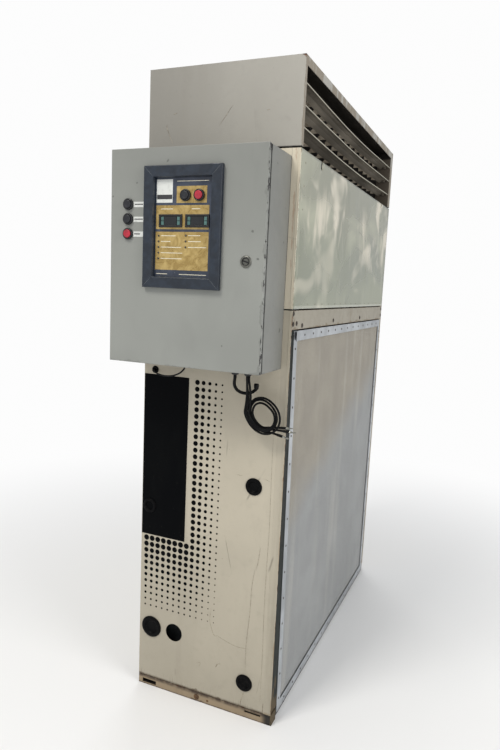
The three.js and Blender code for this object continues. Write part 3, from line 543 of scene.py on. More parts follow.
def powder_coat(name, colour, chips=(), stain=(), inside=None, sweep=None, lines=()):
    """Fine-textured powder coat, slightly uneven, chipped to dark primer near given borders, with painted
    shade inside a given box.
    """
    look = Look(name, specular_ior_level=0.5, coat_weight=0.12, coat_roughness=0.3)
    drift = look.noise(3.2, detail=3, distortion=0.5)
    tone = look.blend(look.fade(drift, 0.34, 0.68), shade(colour, 0.95), shade(colour, 1.05))
    tone = look.over(tone, shade(colour, 0.72), (0.56, 0.76, 0.2), 13, detail=5, stretch=(1, 1, 0.35))
    if sweep:
        tone = look.swept(tone, *sweep)
    tone = look.over(tone, shade(colour, 0.35), (0.755, 0.775, 0.75), 46, detail=2, roughness=0.4)
    rough = look.fade(look.noise(26, detail=4), 0.3, 0.75, 0.4, 0.52)
    if stain:
        dirty = look.math("MULTIPLY", look.worn(stain, patchy=24, amount=0.05), 0.4)
        tone = look.blend(dirty, tone, shade(colour, 0.5))
    if chips:
        chipped = look.worn(chips, patchy=52, amount=-0.015)
        tone = look.blend(chipped, tone, srgb(32, 30, 30))
        rough = look.math("ADD", rough, look.math("MULTIPLY", chipped, 0.2))
    if lines:
        tone = look.blend(look.lined(lines, patchy=16), tone, srgb(26, 26, 28))
    # Painted shade inside the box.
    if inside is not None:
        tone = look.blend(look.outside(*inside), shade(colour, 0.55), tone)
    texture = look.bump(look.noise(900, detail=2, roughness=0.6), 0.00012, 0.8)
    return look.done(tone, rough, texture)


def moulded(name, colour, roughness=0.42, grain=650, **sockets):
    """Moulded plastic or rubber: fine grain, faint cloudiness and rubbed patches."""
    look = Look(name, **sockets)
    cloud = look.noise(55, detail=4)
    tone = look.blend(look.fade(cloud, 0.35, 0.72), shade(colour, 0.8), shade(colour, 1.3))
    rough = look.fade(look.noise(120, detail=3), 0.3, 0.75, roughness - 0.07, roughness + 0.12)
    return look.done(tone, rough, look.bump(look.noise(grain, detail=2), 0.00008, 0.7))


def gold_material():
    """Gold print on film: nearly even, softly wrinkled, with a few pale worn specks."""
    look = Look("gold_print", metallic=0.35, coat_weight=0.5, coat_roughness=0.1)
    wrinkle = look.noise(42, detail=4, roughness=0.6, distortion=1.0)
    tone = look.blend(look.fade(wrinkle, 0.36, 0.7), srgb(165, 138, 78), srgb(196, 170, 108))
    worn = look.fade(look.noise(150, detail=5, roughness=0.7), 0.64, 0.7, 0, 0.6)
    worn = look.math("MULTIPLY", worn, look.fade(look.noise(22, detail=2), 0.54, 0.66))
    tone = look.blend(worn, tone, srgb(240, 224, 178))
    rough = look.fade(wrinkle, 0.35, 0.7, 0.26, 0.42)
    return look.done(tone, rough, look.bump(wrinkle, 0.0002, 0.4))


def fascia_material():
    look = Look("fascia_film", coat_weight=0.6, coat_roughness=0.08)
    cloud = look.noise(30, detail=5)
    tone = look.blend(look.fade(cloud, 0.35, 0.7), srgb(38, 46, 62), srgb(56, 64, 80))
    tone = look.over(tone, srgb(120, 124, 128), (0.63, 0.7, 0.5), 160, detail=5, roughness=0.7)
    return look.done(tone, look.fade(cloud, 0.3, 0.7, 0.28, 0.42), look.bump(cloud, 0.0001, 0.4))


def plain_print(name, colour, dirt=0.35):
    look = Look(name, roughness=0.5)
    tone = look.blend(look.fade(look.noise(85, detail=5), 0.5, 0.72, 0, dirt), colour, shade(colour, 0.6))
    return look.done(tone, None, look.bump(look.noise(300, detail=2), 0.00006, 0.5))


def graphic_material():
    """Black film on the front: satin, dusty and finely scuffed."""
    look = Look("black_film", specular_ior_level=0.05)
    dust = look.noise(12, detail=6, stretch=(1, 1, 0.4))
    tone = look.blend(look.fade(dust, 0.42, 0.74), srgb(1, 2, 4), srgb(6, 7, 8))
    scuff = look.fade(look.noise(210, detail=4, roughness=0.7, stretch=(1, 1, 0.5)), 0.66, 0.72, 0, 0.3)
    tone = look.blend(scuff, tone, srgb(70, 68, 62))
    return look.done(tone, look.fade(dust, 0.3, 0.7, 0.32, 0.5), look.bump(dust, 0.0001, 0.3))


def rust_material(name="rusty_steel"):
    look = Look(name, metallic=0.2)
    cloud = look.noise(150, detail=6, roughness=0.7)
    tone = look.blend(look.fade(cloud, 0.38, 0.66), srgb(58, 44, 34), srgb(128, 98, 68))
    return look.done(tone, look.fade(cloud, 0.3, 0.7, 0.6, 0.85), look.bump(cloud, 0.0005, 0.8))


def scratch_material():
    look = Look("scratch", roughness=0.8)
    broken = look.noise(160, detail=4)
    tone = look.blend(look.fade(broken, 0.4, 0.62), srgb(98, 86, 70), srgb(164, 154, 136))
    return look.done(tone, None, look.bump(broken, 0.0002, 0.5))


def fin_material():
    look = Look("fin_pack", metallic=0.8)
    fins = look.wave(300, "Y")
    tone = look.blend(look.fade(fins, 0.2, 0.8), srgb(74, 78, 82), srgb(168, 172, 176))
    tone = look.over(tone, srgb(122, 112, 98), (0.5, 0.7, 0.6), 14, detail=5)
    return look.done(tone, look.fade(fins, 0, 1, 0.6, 0.36), look.bump(fins, 0.0006, 0.8))


# ---------------------------------------------------------------- mesh helpers

def add_piece(name, bm, material, body, smooth=False, stands_for=()):
    bmesh.ops.recalc_face_normals(bm, faces=bm.faces)
    mesh = bpy.data.meshes.new(name)
    bm.to_mesh(mesh)
    bm.free()
    mesh.materials.append(material)
    for face in mesh.polygons:
        face.use_smooth = smooth
    piece = bpy.data.objects.new(name, mesh)
    bpy.context.scene.collection.objects.link(piece)
    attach(piece, body)
    if stands_for:
        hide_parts(*stands_for)
    return piece


def soften(piece, width, segments=2, angle=32):
    """Rounds a piece's sharp edges."""
    bevel = piece.modifiers.new("rounded", "BEVEL")
    bevel.width = width
    bevel.segments = segments
    bevel.limit_method = "ANGLE"
    bevel.angle_limit = math.radians(angle)
    bevel.use_clamp_overlap = True


def dress(node, material, rounding=0.0005, segments=2):
    """Gives a CAD node its material and rounds its edges."""
    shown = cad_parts[node]
    shown.data.materials.clear()
    shown.data.materials.append(material)
    weld = shown.modifiers.new("weld", "WELD")
    weld.merge_threshold = 0.00002
    if rounding:
        soften(shown, rounding, segments)


def block(bm, low, high, rounding=0.0):
    """A box between two corners, with its edges rounded."""
    made = bmesh.ops.create_cube(bm, size=1)
    low, high = Vector(low), Vector(high)
    size = high - low
    for vertex in made["verts"]:
        vertex.co = (low + high) / 2 + Vector(vertex.co[i] * size[i] for i in range(3))
    if rounding:
        edges = list({edge for vertex in made["verts"] for edge in vertex.link_edges})
        bmesh.ops.bevel(bm, geom=edges, offset=rounding, segments=2, affect="EDGES", profile=0.6)


AXIS_TURN = {
    "-y": Matrix.Rotation(math.radians(90), 3, "X"),
    "+y": Matrix.Rotation(math.radians(-90), 3, "X"),
    "+x": Matrix.Rotation(math.radians(90), 3, "Y"),
    "-x": Matrix.Rotation(math.radians(-90), 3, "Y"),
    "+z": Matrix.Identity(3),
    "-z": Matrix.Rotation(math.radians(180), 3, "X"),
}


def bridge(bm, rows, closed=False):
    """Skins a row of vertex rings, whose two ends are capped or joined to each other."""
    pairs = list(zip(rows, rows[1:]))
    if closed:
        pairs.append((rows[-1], rows[0]))
    else:
        bm.faces.new(rows[0][::-1])
        bm.faces.new(rows[-1])
    for here, there in pairs:
        for k in range(len(here)):
            n = (k + 1) % len(here)
            bm.faces.new([here[k], here[n], there[n], there[k]])


def turned(bm, profile, centre, direction, segments=32):
    """A solid of revolution. The profile is (radius, height along direction) from axis to axis."""
    turn = AXIS_TURN[direction]
    centre = Vector(centre)
    rings = []
    for radius, height in profile:
        if radius < 1e-7:
            rings.append([bm.verts.new(centre + turn @ Vector((0, 0, height)))])
            continue
        ring = []
        for i in range(segments):
            angle = 2 * math.pi * i / segments
            spot = Vector((radius * math.cos(angle), radius * math.sin(angle), height))
            ring.append(bm.verts.new(centre + turn @ spot))
        rings.append(ring)
    for lower, upper in zip(rings, rings[1:]):
        for i in range(segments):
            j = (i + 1) % segments
            corners = [lower[i % len(lower)], lower[j % len(lower)],
                       upper[j % len(upper)], upper[i % len(upper)]]
            bm.faces.new(list(dict.fromkeys(corners)))


def closed_ring(bm, profile, centre, direction, segments=32):
    """A ring: the profile is a closed loop of (radius, height) that stays off the axis."""
    turn = AXIS_TURN[direction]
    centre = Vector(centre)
    columns = []
    for i in range(segments):
        angle = 2 * math.pi * i / segments
        columns.append([
            bm.verts.new(centre + turn @ Vector((r * math.cos(angle), r * math.sin(angle), h)))
            for r, h in profile])
    bridge(bm, columns, closed=True)


def rivet(bm, centre, direction, radius=0.0032, height=0.0012):
    turned(bm, [(0, -0.0002), (radius, -0.0002), (radius, height * 0.25), (radius * 0.78, height * 0.75),
                (radius * 0.4, height), (0, height * 1.04)], centre, direction, 14)


def screw(bm, centre, direction, radius=0.0055, height=0.0022, spin=0.0):
    """A pan-head screw with a slot cut across it, on a thin washer."""
    turned(bm, [(0, -0.0002), (radius * 1.35, -0.0002), (radius * 1.35, 0.0006), (radius, 0.0007),
                (radius, height * 0.6), (radius * 0.72, height), (0, height * 1.08)], centre, direction, 18)
    turn = AXIS_TURN[direction]
    across = Matrix.Rotation(spin, 3, "Z")
    half = (radius * 0.7, radius * 0.1, 0.0004)
    made = bmesh.ops.create_cube(bm, size=2)
    for vertex in made["verts"]:
        spot = across @ Vector(vertex.co[i] * half[i] for i in range(3))
        vertex.co = Vector(centre) + turn @ (spot + Vector((0, 0, height * 1.02)))


def strip(bm, points, width, normal, lift=0.0002, thickness=0.00015):
    """A thin flat ribbon along points on a surface, as a closed solid that narrows at both ends."""
    normal = Vector(normal)
    points = [Vector(p) + normal * lift for p in points]
    rows = []
    for i, point in enumerate(points):
        ahead = points[min(i + 1, len(points) - 1)] - points[max(i - 1, 0)]
        share = i / (len(points) - 1)
        side = normal.cross(ahead).normalized() * width * (0.25 + 0.75 * math.sin(math.pi * share)) / 2
        rows.append([bm.verts.new(point - side), bm.verts.new(point + side),
                     bm.verts.new(point + side + normal * thickness),
                     bm.verts.new(point - side + normal * thickness)])
    bridge(bm, rows)


def smooth_line(points, steps=10):
    """Points on a smooth curve through the given ones."""
    points = [Vector(p) for p in points]
    padded = [points[0] * 2 - points[1], *points, points[-1] * 2 - points[-2]]
    line = []
    for i in range(1, len(padded) - 2):
        a, b, c, d = padded[i - 1:i + 3]
        for step in range(steps):
            t = step / steps
            line.append(0.5 * ((2 * b) + (c - a) * t + (2 * a - 5 * b + 4 * c - d) * t ** 2
                               + (3 * b - a - 3 * c + d) * t ** 3))
    line.append(points[-1])
    return line


def cord_piece(name, line, diameter, material):
    """A curve of one open spline through the line's points, as thick as the cord."""
    data = bpy.data.curves.new(name, "CURVE")
    data.dimensions = "3D"
    data.bevel_depth = diameter / 2
    data.bevel_resolution = 5
    data.use_fill_caps = True
    spline = data.splines.new("POLY")
    spline.points.add(len(line) - 1)
    for point, place in zip(spline.points, line):
        point.co = (*place, 1)
    data.materials.append(material)
    piece = bpy.data.objects.new(name, data)
    bpy.context.scene.collection.objects.link(piece)
    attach(piece, "cabinet")
    return piece


# ---------------------------------------------------------------- cables

COIL_CENTRE = Vector((0.172, -0.612, 0.934))
COIL_MEAN = 0.043
CONDUCTOR = 0.006
SUPPLY_EXIT = Vector((0.138, -0.640, 1.0377))
LOOP_EXIT = Vector((0.101, -0.640, 1.0377))
LOOP_CABLE = 0.009
SENSOR_HOLE_X, SENSOR_HOLE_Z = -0.190, 1.017
SENSOR_LEAD = 0.0048
POINTS_PER_TURN = 24


def conductor_line(k):
    """One of three conductors: down from its gland, once round the coil and out to the right."""
    around = 2 * math.pi * k / 3 + 0.5
    nudge = Vector((0.0037 * math.cos(around), 0.0037 * math.sin(around), 0))
    lane = (k - 1) * 0.0066
    points = [SUPPLY_EXIT + nudge, SUPPLY_EXIT + nudge + Vector((0, 0.001, -0.012))]
    points += [
        Vector((0.1375 + nudge.x - lane * 0.2, -0.634 + nudge.y * 0.9, 1.008)),
        Vector((0.1370 + nudge.x * 0.6 - lane * 0.5, -0.628 + nudge.y * 0.7, 0.990)),
        Vector((0.1355 + nudge.x * 0.2 - lane * 0.8, -0.623 + nudge.y * 0.3, 0.972)),
        Vector((0.1330 - lane, -0.6195, 0.953)),
    ]
    first, last = math.radians(176), math.radians(634)
    steps = round(POINTS_PER_TURN * (last - first) / (2 * math.pi))
    for i in range(steps + 1):
        angle = first + (last - first) * i / steps
        share = (angle - first) / (2 * math.pi)
        swell = 1 + 0.11 * math.cos(2 * (angle + math.radians(45)))
        second = min(1.0, max(0.0, (share - 0.55) / 0.4))
        radius = COIL_MEAN * swell * (1 - 0.13 * second) + lane * (1 + 0.35 * math.sin(angle + 0.9 * k))
        depth = -0.618 + 0.0082 * share + 0.0004 * math.sin(angle * 2 + 2 * k)
        points.append(Vector((COIL_CENTRE.x + 0.003 * second + radius * math.cos(angle), depth,
                              COIL_CENTRE.z - 0.002 * second + radius * math.sin(angle))))
    end = points[-1]
    reach = (0.052, 0.060, 0.040)[k]
    rise = (0.006, 0.002, -0.004)[k]
    points.append(end + Vector((reach * 0.35, -0.001, 0.001 + rise * 0.2)))
    points.append(end + Vector((reach * 0.7, -0.002 + 0.001 * k, 0.001 + rise * 0.6)))
    points.append(end + Vector((reach, -0.003 + 0.002 * k, rise)))
    return smooth_line(points, 6)


def ring_lug(name, start, ahead, material, sleeve):
    """A crimped ring terminal on the end of a conductor, with a black sleeve over its barrel."""
    ahead = ahead.normalized()
    side = ahead.cross(Vector((0, 0, 1))).normalized()
    up = side.cross(ahead)
    place = Matrix((side, up, ahead)).transposed().to_4x4()
    place.translation = start
    bm = bmesh.new()
    turned(bm, [(0, 0.012), (0.0030, 0.012), (0.0030, 0.019), (0.0022, 0.021), (0, 0.0212)],
           (0, 0, 0), "+z", 16)
    closed_ring(bm, [(0.0028, -0.0006), (0.0062, -0.0006), (0.0062, 0.0006), (0.0028, 0.0006)],
                (0, 0, 0), "+y", 28)
    ring = [v for v in bm.verts if abs(v.co.y) < 0.0007 and v.co.length < 0.0065]
    bmesh.ops.translate(bm, vec=(0, 0, 0.0265), verts=ring)
    bm.transform(place)
    lug = add_piece(name, bm, material, "cabinet", smooth=False)
    soften(lug, 0.0002, 2)
    bm = bmesh.new()
    turned(bm, [(0, -0.004), (0.0033, -0.004), (0.0037, -0.002), (0.0037, 0.0118), (0.0032, 0.0135),
                (0, 0.0135)], (0, 0, 0), "+z", 20)
    bm.transform(place)
    cover = add_piece(name + "_sleeve", bm, sleeve, "cabinet", smooth=True)
    return lug, cover


def add_cables(made):
    for k in range(3):
        line = conductor_line(k)
        name = f"supply_conductor_{k + 1}"
        piece = cord_piece(name, line, CONDUCTOR, made["cable"])
        pieces = ring_lug(f"ring_lug_{k + 1}", line[-1], line[-1] - line[-3], made["tin"], made["sleeve"])
    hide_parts("supply_drop", "supply_coil", "supply_tail")

    line = smooth_line([
        LOOP_EXIT,
        LOOP_EXIT - Vector((0, 0, 0.008)),
        (0.098, -0.636, 1.018),
        (0.096, -0.630, 1.008),
        (0.098, -0.622, 0.997),
        (0.105, -0.614, 0.989),
        (0.116, -0.607, 0.985),
        (0.128, -0.601, 0.986),
        (0.138, -0.597, 0.991),
        (0.145, -0.597, 0.999),
        (0.147, -0.600, 1.008),
    ], 8)
    loop = cord_piece("loop_cable_sheath", line, LOOP_CABLE, made["cable"])
    bm = bmesh.new()
    turned(bm, [(0, -0.010), (0.0052, -0.010), (0.0066, -0.0075), (0.0070, 0.002), (0.0058, 0.0055),
                (0, 0.0062)], tuple(line[-1]), "+z", 24)
    cap = add_piece("loop_cable_cap", bm, made["sleeve"], "cabinet", smooth=True)
    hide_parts("loop_cable")

    line = smooth_line([
        (SENSOR_HOLE_X, FRONT + 0.010, SENSOR_HOLE_Z),
        (SENSOR_HOLE_X, FRONT - 0.006, SENSOR_HOLE_Z - 0.001),
        (-0.178, FRONT - 0.016, 1.010),
        (-0.148, FRONT - 0.026, 1.006),
        (-0.112, FRONT - 0.038, 1.010),
        (-0.080, FRONT - 0.050, 1.022),
        (-0.060, FRONT - 0.059, 1.038),
        (-0.058, FRONT - 0.060, 1.048),
        (-0.058, FRONT - 0.060, ENCLOSURE[0].z - 0.001),
    ], 8)
    lead = cord_piece("sensor_lead_sheath", line, SENSOR_LEAD, made["cable"])
    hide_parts("sensor_lead")

    bm = bmesh.new()
    ring = [(0.0078 + 0.0032 * math.cos(a), 0.0012 + 0.0022 * math.sin(a))
            for a in (2 * math.pi * i / 12 for i in range(12))]
    closed_ring(bm, ring, (SENSOR_HOLE_X, FRONT, SENSOR_HOLE_Z), "-y", 32)
    add_piece("sensor_hole_ring", bm, made["rubber"], "cabinet", smooth=True)


def add_glands(made):
    """Hexagonal cable glands with domed nuts, under a flange plate."""
    low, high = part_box("cable_glands")
    bm = bmesh.new()
    block(bm, (low.x, low.y, high.z - 0.003), high, 0.0006)
    add_piece("gland_plate", bm, made["black_plastic"], "cabinet",
              stands_for=("cable_glands",))
    for name, x in (("supply", SUPPLY_EXIT.x), ("loop", LOOP_EXIT.x)):
        bm = bmesh.new()
        centre = (x, SUPPLY_EXIT.y, high.z - 0.0032)
        turned(bm, [(0, 0), (0.0115, 0), (0.0115, 0.005), (0.0102, 0.0058), (0, 0.0058)], centre, "-z", 6)
        turned(bm, [(0, 0.0058), (0.0088, 0.0058), (0.0088, 0.0068), (0.0098, 0.0072), (0.0098, 0.0108),
                    (0.0085, 0.0126), (0.0064, 0.0130), (0, 0.0130)], centre, "-z", 20)
        gland = add_piece(f"gland_{name}", bm, made["black_plastic"], "cabinet")
        soften(gland, 0.0003, 2)


# ---------------------------------------------------------------- front graphic

GRAPHIC_TOP = 1.003
BLOCK_RIGHT = -0.076
BLOCK_BOTTOM = 0.505
DOT_PITCH = 0.020
DOT_RIGHT = 0.041
DOT_BOTTOM = 0.245
FILM = 0.00025


def dot_radius(x, z):
    """Dots shrink evenly with their distance from the black block."""
    across = max(0.0, x - BLOCK_RIGHT) / (DOT_RIGHT - BLOCK_RIGHT)
    below = max(0.0, BLOCK_BOTTOM - z) / (BLOCK_BOTTOM - DOT_BOTTOM)
    return DOT_PITCH * max(0.08, 0.45 - 0.34 * math.hypot(across, below))


def add_graphic(made):
    """A plain black film block that runs out in a square grid of shrinking round dots."""
    bm = bmesh.new()
    block(bm, (LEFT + 0.0012, FRONT - FILM, BLOCK_BOTTOM), (BLOCK_RIGHT, FRONT - 0.00005, GRAPHIC_TOP))
    columns = int((DOT_RIGHT - LEFT) / DOT_PITCH)
    rows = int((GRAPHIC_TOP - DOT_BOTTOM) / DOT_PITCH)
    for row in range(rows):
        for column in range(columns):
            x = DOT_RIGHT - (column + 0.5) * DOT_PITCH
            z = GRAPHIC_TOP - (row + 0.5) * DOT_PITCH
            radius = dot_radius(x, z)
            if z > BLOCK_BOTTOM - radius and x < BLOCK_RIGHT + radius:
                continue
            turned(bm, [(0, 0.00005), (radius, 0.00005), (radius, FILM), (0, FILM)], (x, FRONT, z), "-y", 20)
    add_piece("front_graphic", bm, made["graphic"], "cabinet")


def add_scratches(made):
    """Long hairline cracks and scratches in the front's paint, and a few on the hood."""
    bm = bmesh.new()
    at_front = lambda *points: smooth_line([(x, FRONT, z) for x, z in points], 6)
    lines = [
        (at_front((0.140, 0.086), (0.136, 0.066), (0.131, 0.050), (0.130, 0.036)), 0.0016),
        (at_front((0.158, 0.480), (0.150, 0.420), (0.147, 0.330), (0.140, 0.230), (0.141, 0.150)), 0.0008),
        (at_front((0.170, 0.540), (0.166, 0.500), (0.160, 0.470)), 0.0009),
        (at_front((0.022, 0.318), (0.019, 0.280), (0.026, 0.252), (0.036, 0.233), (0.046, 0.236)), 0.0009),
        (at_front((0.046, 0.236), (0.075, 0.226), (0.110, 0.219), (0.150, 0.222)), 0.0007),
        (at_front((-0.020, 0.130), (-0.008, 0.131), (-0.012, 0.118)), 0.0009),
        (at_front((0.048, 0.146), (0.044, 0.133), (0.052, 0.146), (0.060, 0.147)), 0.0009),
        (at_front((0.193, 1.000), (0.192, 0.800), (0.194, 0.600), (0.191, 0.400), (0.193, 0.200),
                  (0.192, 0.060)), 0.0006),
        (at_front((0.086, 0.742), (0.104, 0.741)), 0.0008),
        (at_front((0.168, 0.744), (0.190, 0.738)), 0.0008),
    ]
    for line, width in lines:
        strip(bm, line, width, (0, -1, 0))
    at_hood = lambda *points: smooth_line([(x, HOOD[0].y, z) for x, z in points], 6)
    for line, width in (
        (at_hood((-0.168, 1.702), (-0.170, 1.694), (-0.150, 1.650)), 0.0013),
        (at_hood((0.030, 1.742), (0.010, 1.715), (-0.010, 1.690)), 0.0007),
        (at_hood((-0.150, 1.728), (-0.138, 1.732)), 0.0013),
        (at_hood((0.128, 1.722), (0.136, 1.724)), 0.0014),
    ):
        strip(bm, line, width, (0, -1, 0))
    add_piece("paint_scratches", bm, made["scratch"], "cabinet")


# ---------------------------------------------------------------- grommets and small fittings

GROMMETS = ("pipe_grommet_upper_left", "pipe_grommet_lower_left", "pipe_grommet_upper_right",
            "pipe_grommet_lower_right")


def add_grommets(made):
    for node in GROMMETS:
        low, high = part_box(node)
        centre = (low + high) / 2
        radius = (high.x - low.x) / 2
        bm = bmesh.new()
        profile = [(0, -0.0020), (radius - 0.0031, -0.0020), (radius - 0.0031, 0.0003),
                   (radius - 0.0002, 0.0004)]
        profile += [(radius, 0.0012), (radius - 0.0006, 0.0026), (radius - 0.0022, 0.0036)]
        profile += [(radius * 0.72, 0.0042), (radius * 0.66, 0.0036), (radius * 0.60, 0.0012)]
        profile += [(radius * 0.57, -0.0010), (radius * 0.30, -0.0008), (0, -0.0010)]
        turned(bm, profile, (centre.x, FRONT, centre.z), "-y", 48)
        add_piece(node + "_moulding", bm, made["rubber"], "cabinet", smooth=True,
                  stands_for=(node,))


CORNER_FOOT = ((0.2258, -0.569, 0.0), (0.2308, -0.535, 0.034))


def add_base_fittings(made):
    """A rusty blanking plug and a screw in the base rail, and the dark foot at its right corner."""
    bm = bmesh.new()
    turned(bm, [(0, -0.0005), (0.0085, -0.0005), (0.0088, 0.0016), (0.0070, 0.0028), (0.0066, 0.0016),
                (0.0030, 0.0013), (0, 0.0020)], (-0.018, BASE[0].y, 0.014), "-y", 28)
    screw(bm, (0.020, BASE[0].y, 0.012), "-y", 0.0028, 0.0014, 0.6)
    add_piece("base_plug", bm, made["rust"], "cabinet", smooth=False)
    bm = bmesh.new()
    block(bm, *CORNER_FOOT, 0.0012)
    add_piece("corner_foot", bm, made["dark_strip"], "cabinet")


# ---------------------------------------------------------------- rivets and screws

FILTER_FRONT_TOP = FILTER[0].y
FILTER_LEAN = 0.028


def filter_front(z):
    """The leaning front edge of the filter frame."""
    low, high = FILTER
    return FILTER_FRONT_TOP + FILTER_LEAN * (high.z - z) / (high.z - low.z)


def spaced(start, end, count):
    return [start + (end - start) * i / (count - 1) for i in range(count)]


def add_side_fasteners(made):
    """Rail screws, the rivets of the filter strip and those of the upper sheet, one piece for each set."""
    bm = bmesh.new()
    front, rear = RAIL[0].y, RAIL[1].y
    places = [(front + 0.008, 1.205), (front + 0.008, 1.177), (front + 0.036, 1.178), (front + 0.083, 1.171),
              (-0.176, 1.176), (0.181, 1.176), (rear - 0.012, 1.204), (rear - 0.014, 1.177)]
    for i, (y, z) in enumerate(places):
        screw(bm, (RIGHT, y, z), "+x", 0.0052, 0.0022, 0.7 * i)
    add_piece("rail_screws", bm, made["dark_screw"], "cabinet")

    bm = bmesh.new()
    low, high = FILTER
    inset = 0.014
    for z in spaced(low.z + 0.041, high.z - 0.049, 14):
        rivet(bm, (RIGHT, filter_front(z) + inset, z), "+x", 0.0034)
        rivet(bm, (RIGHT, high.y - inset, z), "+x", 0.0034)
    for y in spaced(low.y + 0.09, high.y - 0.07, 13):
        rivet(bm, (RIGHT, y, low.z + inset), "+x", 0.0034)
        rivet(bm, (RIGHT, y, high.z - inset), "+x", 0.0034)
    add_piece("filter_rivets", bm, made["dark_screw"], "cabinet", smooth=True)

    bm = bmesh.new()
    low, high = SIDE_SHEET
    for i, z in enumerate(spaced(high.z - 0.030, low.z + 0.022, 7)):
        rivet(bm, (RIGHT, low.y + 0.038 - 0.003 * i, z), "+x", 0.0026)
        rivet(bm, (RIGHT, high.y - 0.016, z), "+x", 0.0026)
    for y in spaced(low.y + 0.05, high.y - 0.05, 16):
        rivet(bm, (RIGHT, y, low.z + 0.012), "+x", 0.0022)
    add_piece("sheet_rivets", bm, made["sheet_rivet"], "cabinet", smooth=True)


def add_fold(made, name, node):
    """The rolled lip down a front piece's right edge. Gives back that piece's box."""
    low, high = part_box(node)
    bm = bmesh.new()
    block(bm, (high.x - 0.0068, FRONT - 0.0009, low.z + 0.0006),
          (high.x - 0.0048, FRONT, high.z - 0.0006), 0.0004)
    add_piece(f"{name}_fold", bm, made[f"cream_{name}"], "cabinet")
    return low, high


def add_trim_fold(made):
    """Rolled lips down the front's right edge, two seams, and a loose flap at the filter frame's corner."""
    low, high = add_fold(made, "trim", "front_edge_trim")
    bm = bmesh.new()
    block(bm, (LOWER_PANEL[1].x - 0.0004, FRONT + 0.0003, low.z + 0.001),
          (low.x + 0.0004, FRONT + 0.0011, high.z - 0.001))
    add_piece("seam_filler", bm, made["cream_front"], "cabinet")
    low, high = add_fold(made, "upper", "front_upper_panel")
    bm = bmesh.new()
    seam = high.x - 0.0243
    strip(bm, [(seam, FRONT, z) for z in spaced(low.z + 0.001, high.z - 0.001, 9)], 0.0010, (0, -1, 0))
    add_piece("upper_seam", bm, made["dark_print"], "cabinet")
    bm = bmesh.new()
    top = FILTER[1].z
    rows = []
    for i in range(7):
        lift = 0.0004 + 0.0068 * (i / 6) ** 2
        y = FILTER_FRONT_TOP + 0.030 - 0.005 * i
        z0, z1 = top - 0.030 + 0.0018 * i, top - 0.0022 * (6 - i) / 6
        rows.append([bm.verts.new((RIGHT + lift + t, y, z))
                     for z, t in ((z0, 0), (z0, 0.0006), (z1, 0.0006), (z1, 0))])
    bridge(bm, rows)
    add_piece("filter_flap", bm, made["strip"], "cabinet")


def add_panel_screws(made):
    """Screws round the left and rear panels."""
    bm = bmesh.new()
    inset = 0.014
    for low, high in (LEFT_LOWER, LEFT_UPPER):
        rows = 5 if high.z - low.z > 0.6 else 3
        for i, z in enumerate(spaced(low.z + inset, high.z - inset, rows)):
            for y in (low.y + inset, high.y - inset):
                screw(bm, (low.x, y, z), "-x", 0.0045, 0.002, 0.9 * i + y)
        for y in spaced(low.y + 0.28, high.y - 0.28, 3):
            for z in (low.z + inset, high.z - inset):
                screw(bm, (low.x, y, z), "-x", 0.0045, 0.002, 3 * y)
    low, high = REAR_PANEL
    for i, z in enumerate(spaced(low.z + inset, high.z - inset, 8)):
        for x in (low.x + inset, high.x - inset):
            screw(bm, (x, high.y, z), "+y", 0.0045, 0.002, 0.8 * i + x)
    for x in (-0.075, 0.075):
        for z in (low.z + inset, high.z - inset):
            screw(bm, (x, high.y, z), "+y", 0.0045, 0.002, 5 * x)
    add_piece("panel_screws", bm, made["zinc_screw"], "cabinet")


# ---------------------------------------------------------------- side sheet and filter cloth

def grid_sheet(bm, x, ys, zs, thickness, wave, skip=None):
    """An upright sheet facing +X whose face is moved out by wave(y, z), closed round its edges."""
    face = [[bm.verts.new((x + wave(y, z), y, z)) for z in zs] for y in ys]
    quads = []
    for i in range(len(ys) - 1):
        for j in range(len(zs) - 1):
            if skip and skip((ys[i] + ys[i + 1]) / 2, (zs[j] + zs[j + 1]) / 2):
                continue
            quads.append(bm.faces.new([face[i][j], face[i + 1][j], face[i + 1][j + 1], face[i][j + 1]]))
    bmesh.ops.delete(bm, geom=[v for v in bm.verts if not v.link_faces], context="VERTS")
    out = bmesh.ops.extrude_face_region(bm, geom=quads)
    moved = [v for v in out["geom"] if isinstance(v, bmesh.types.BMVert)]
    bmesh.ops.translate(bm, vec=(-thickness, 0, 0), verts=moved)


def fine(start, end, step, extra=()):
    count = max(2, round((end - start) / step) + 1)
    return sorted(set(spaced(start, end, count)) | set(extra))


def add_side_sheet(made):
    """The upper side sheet: thin metal that has buckled in long upright waves."""
    low, high = SIDE_SHEET
    notches = [FRONT + 0.178, -FRONT - 0.156]

    def wave(y, z):
        edge = min(1.0, (y - low.y) / 0.05, (high.y - y) / 0.05, (z - low.z) / 0.05, (high.z - z) / 0.05)
        slow = noise.noise(Vector((y * 7.0, z * 2.6, 1.3)))
        quick = noise.noise(Vector((y * 19.0, z * 6.0, 7.9)))
        return max(0.0, edge) * (0.0016 * slow + 0.0006 * quick)

    ys = fine(low.y, high.y, 0.009, [n + side * 0.005 for n in notches for side in (-1, 1)])
    zs = fine(low.z, high.z, 0.009, [high.z - 0.022])
    bm = bmesh.new()
    grid_sheet(bm, RIGHT, ys, zs, 0.0015, wave,
               lambda y, z: z > high.z - 0.022 and any(abs(y - n) < 0.005 for n in notches))
    add_piece("right_upper_skin", bm, made["side_sheet"], "cabinet", smooth=True,
              stands_for=("right_upper_panel",))


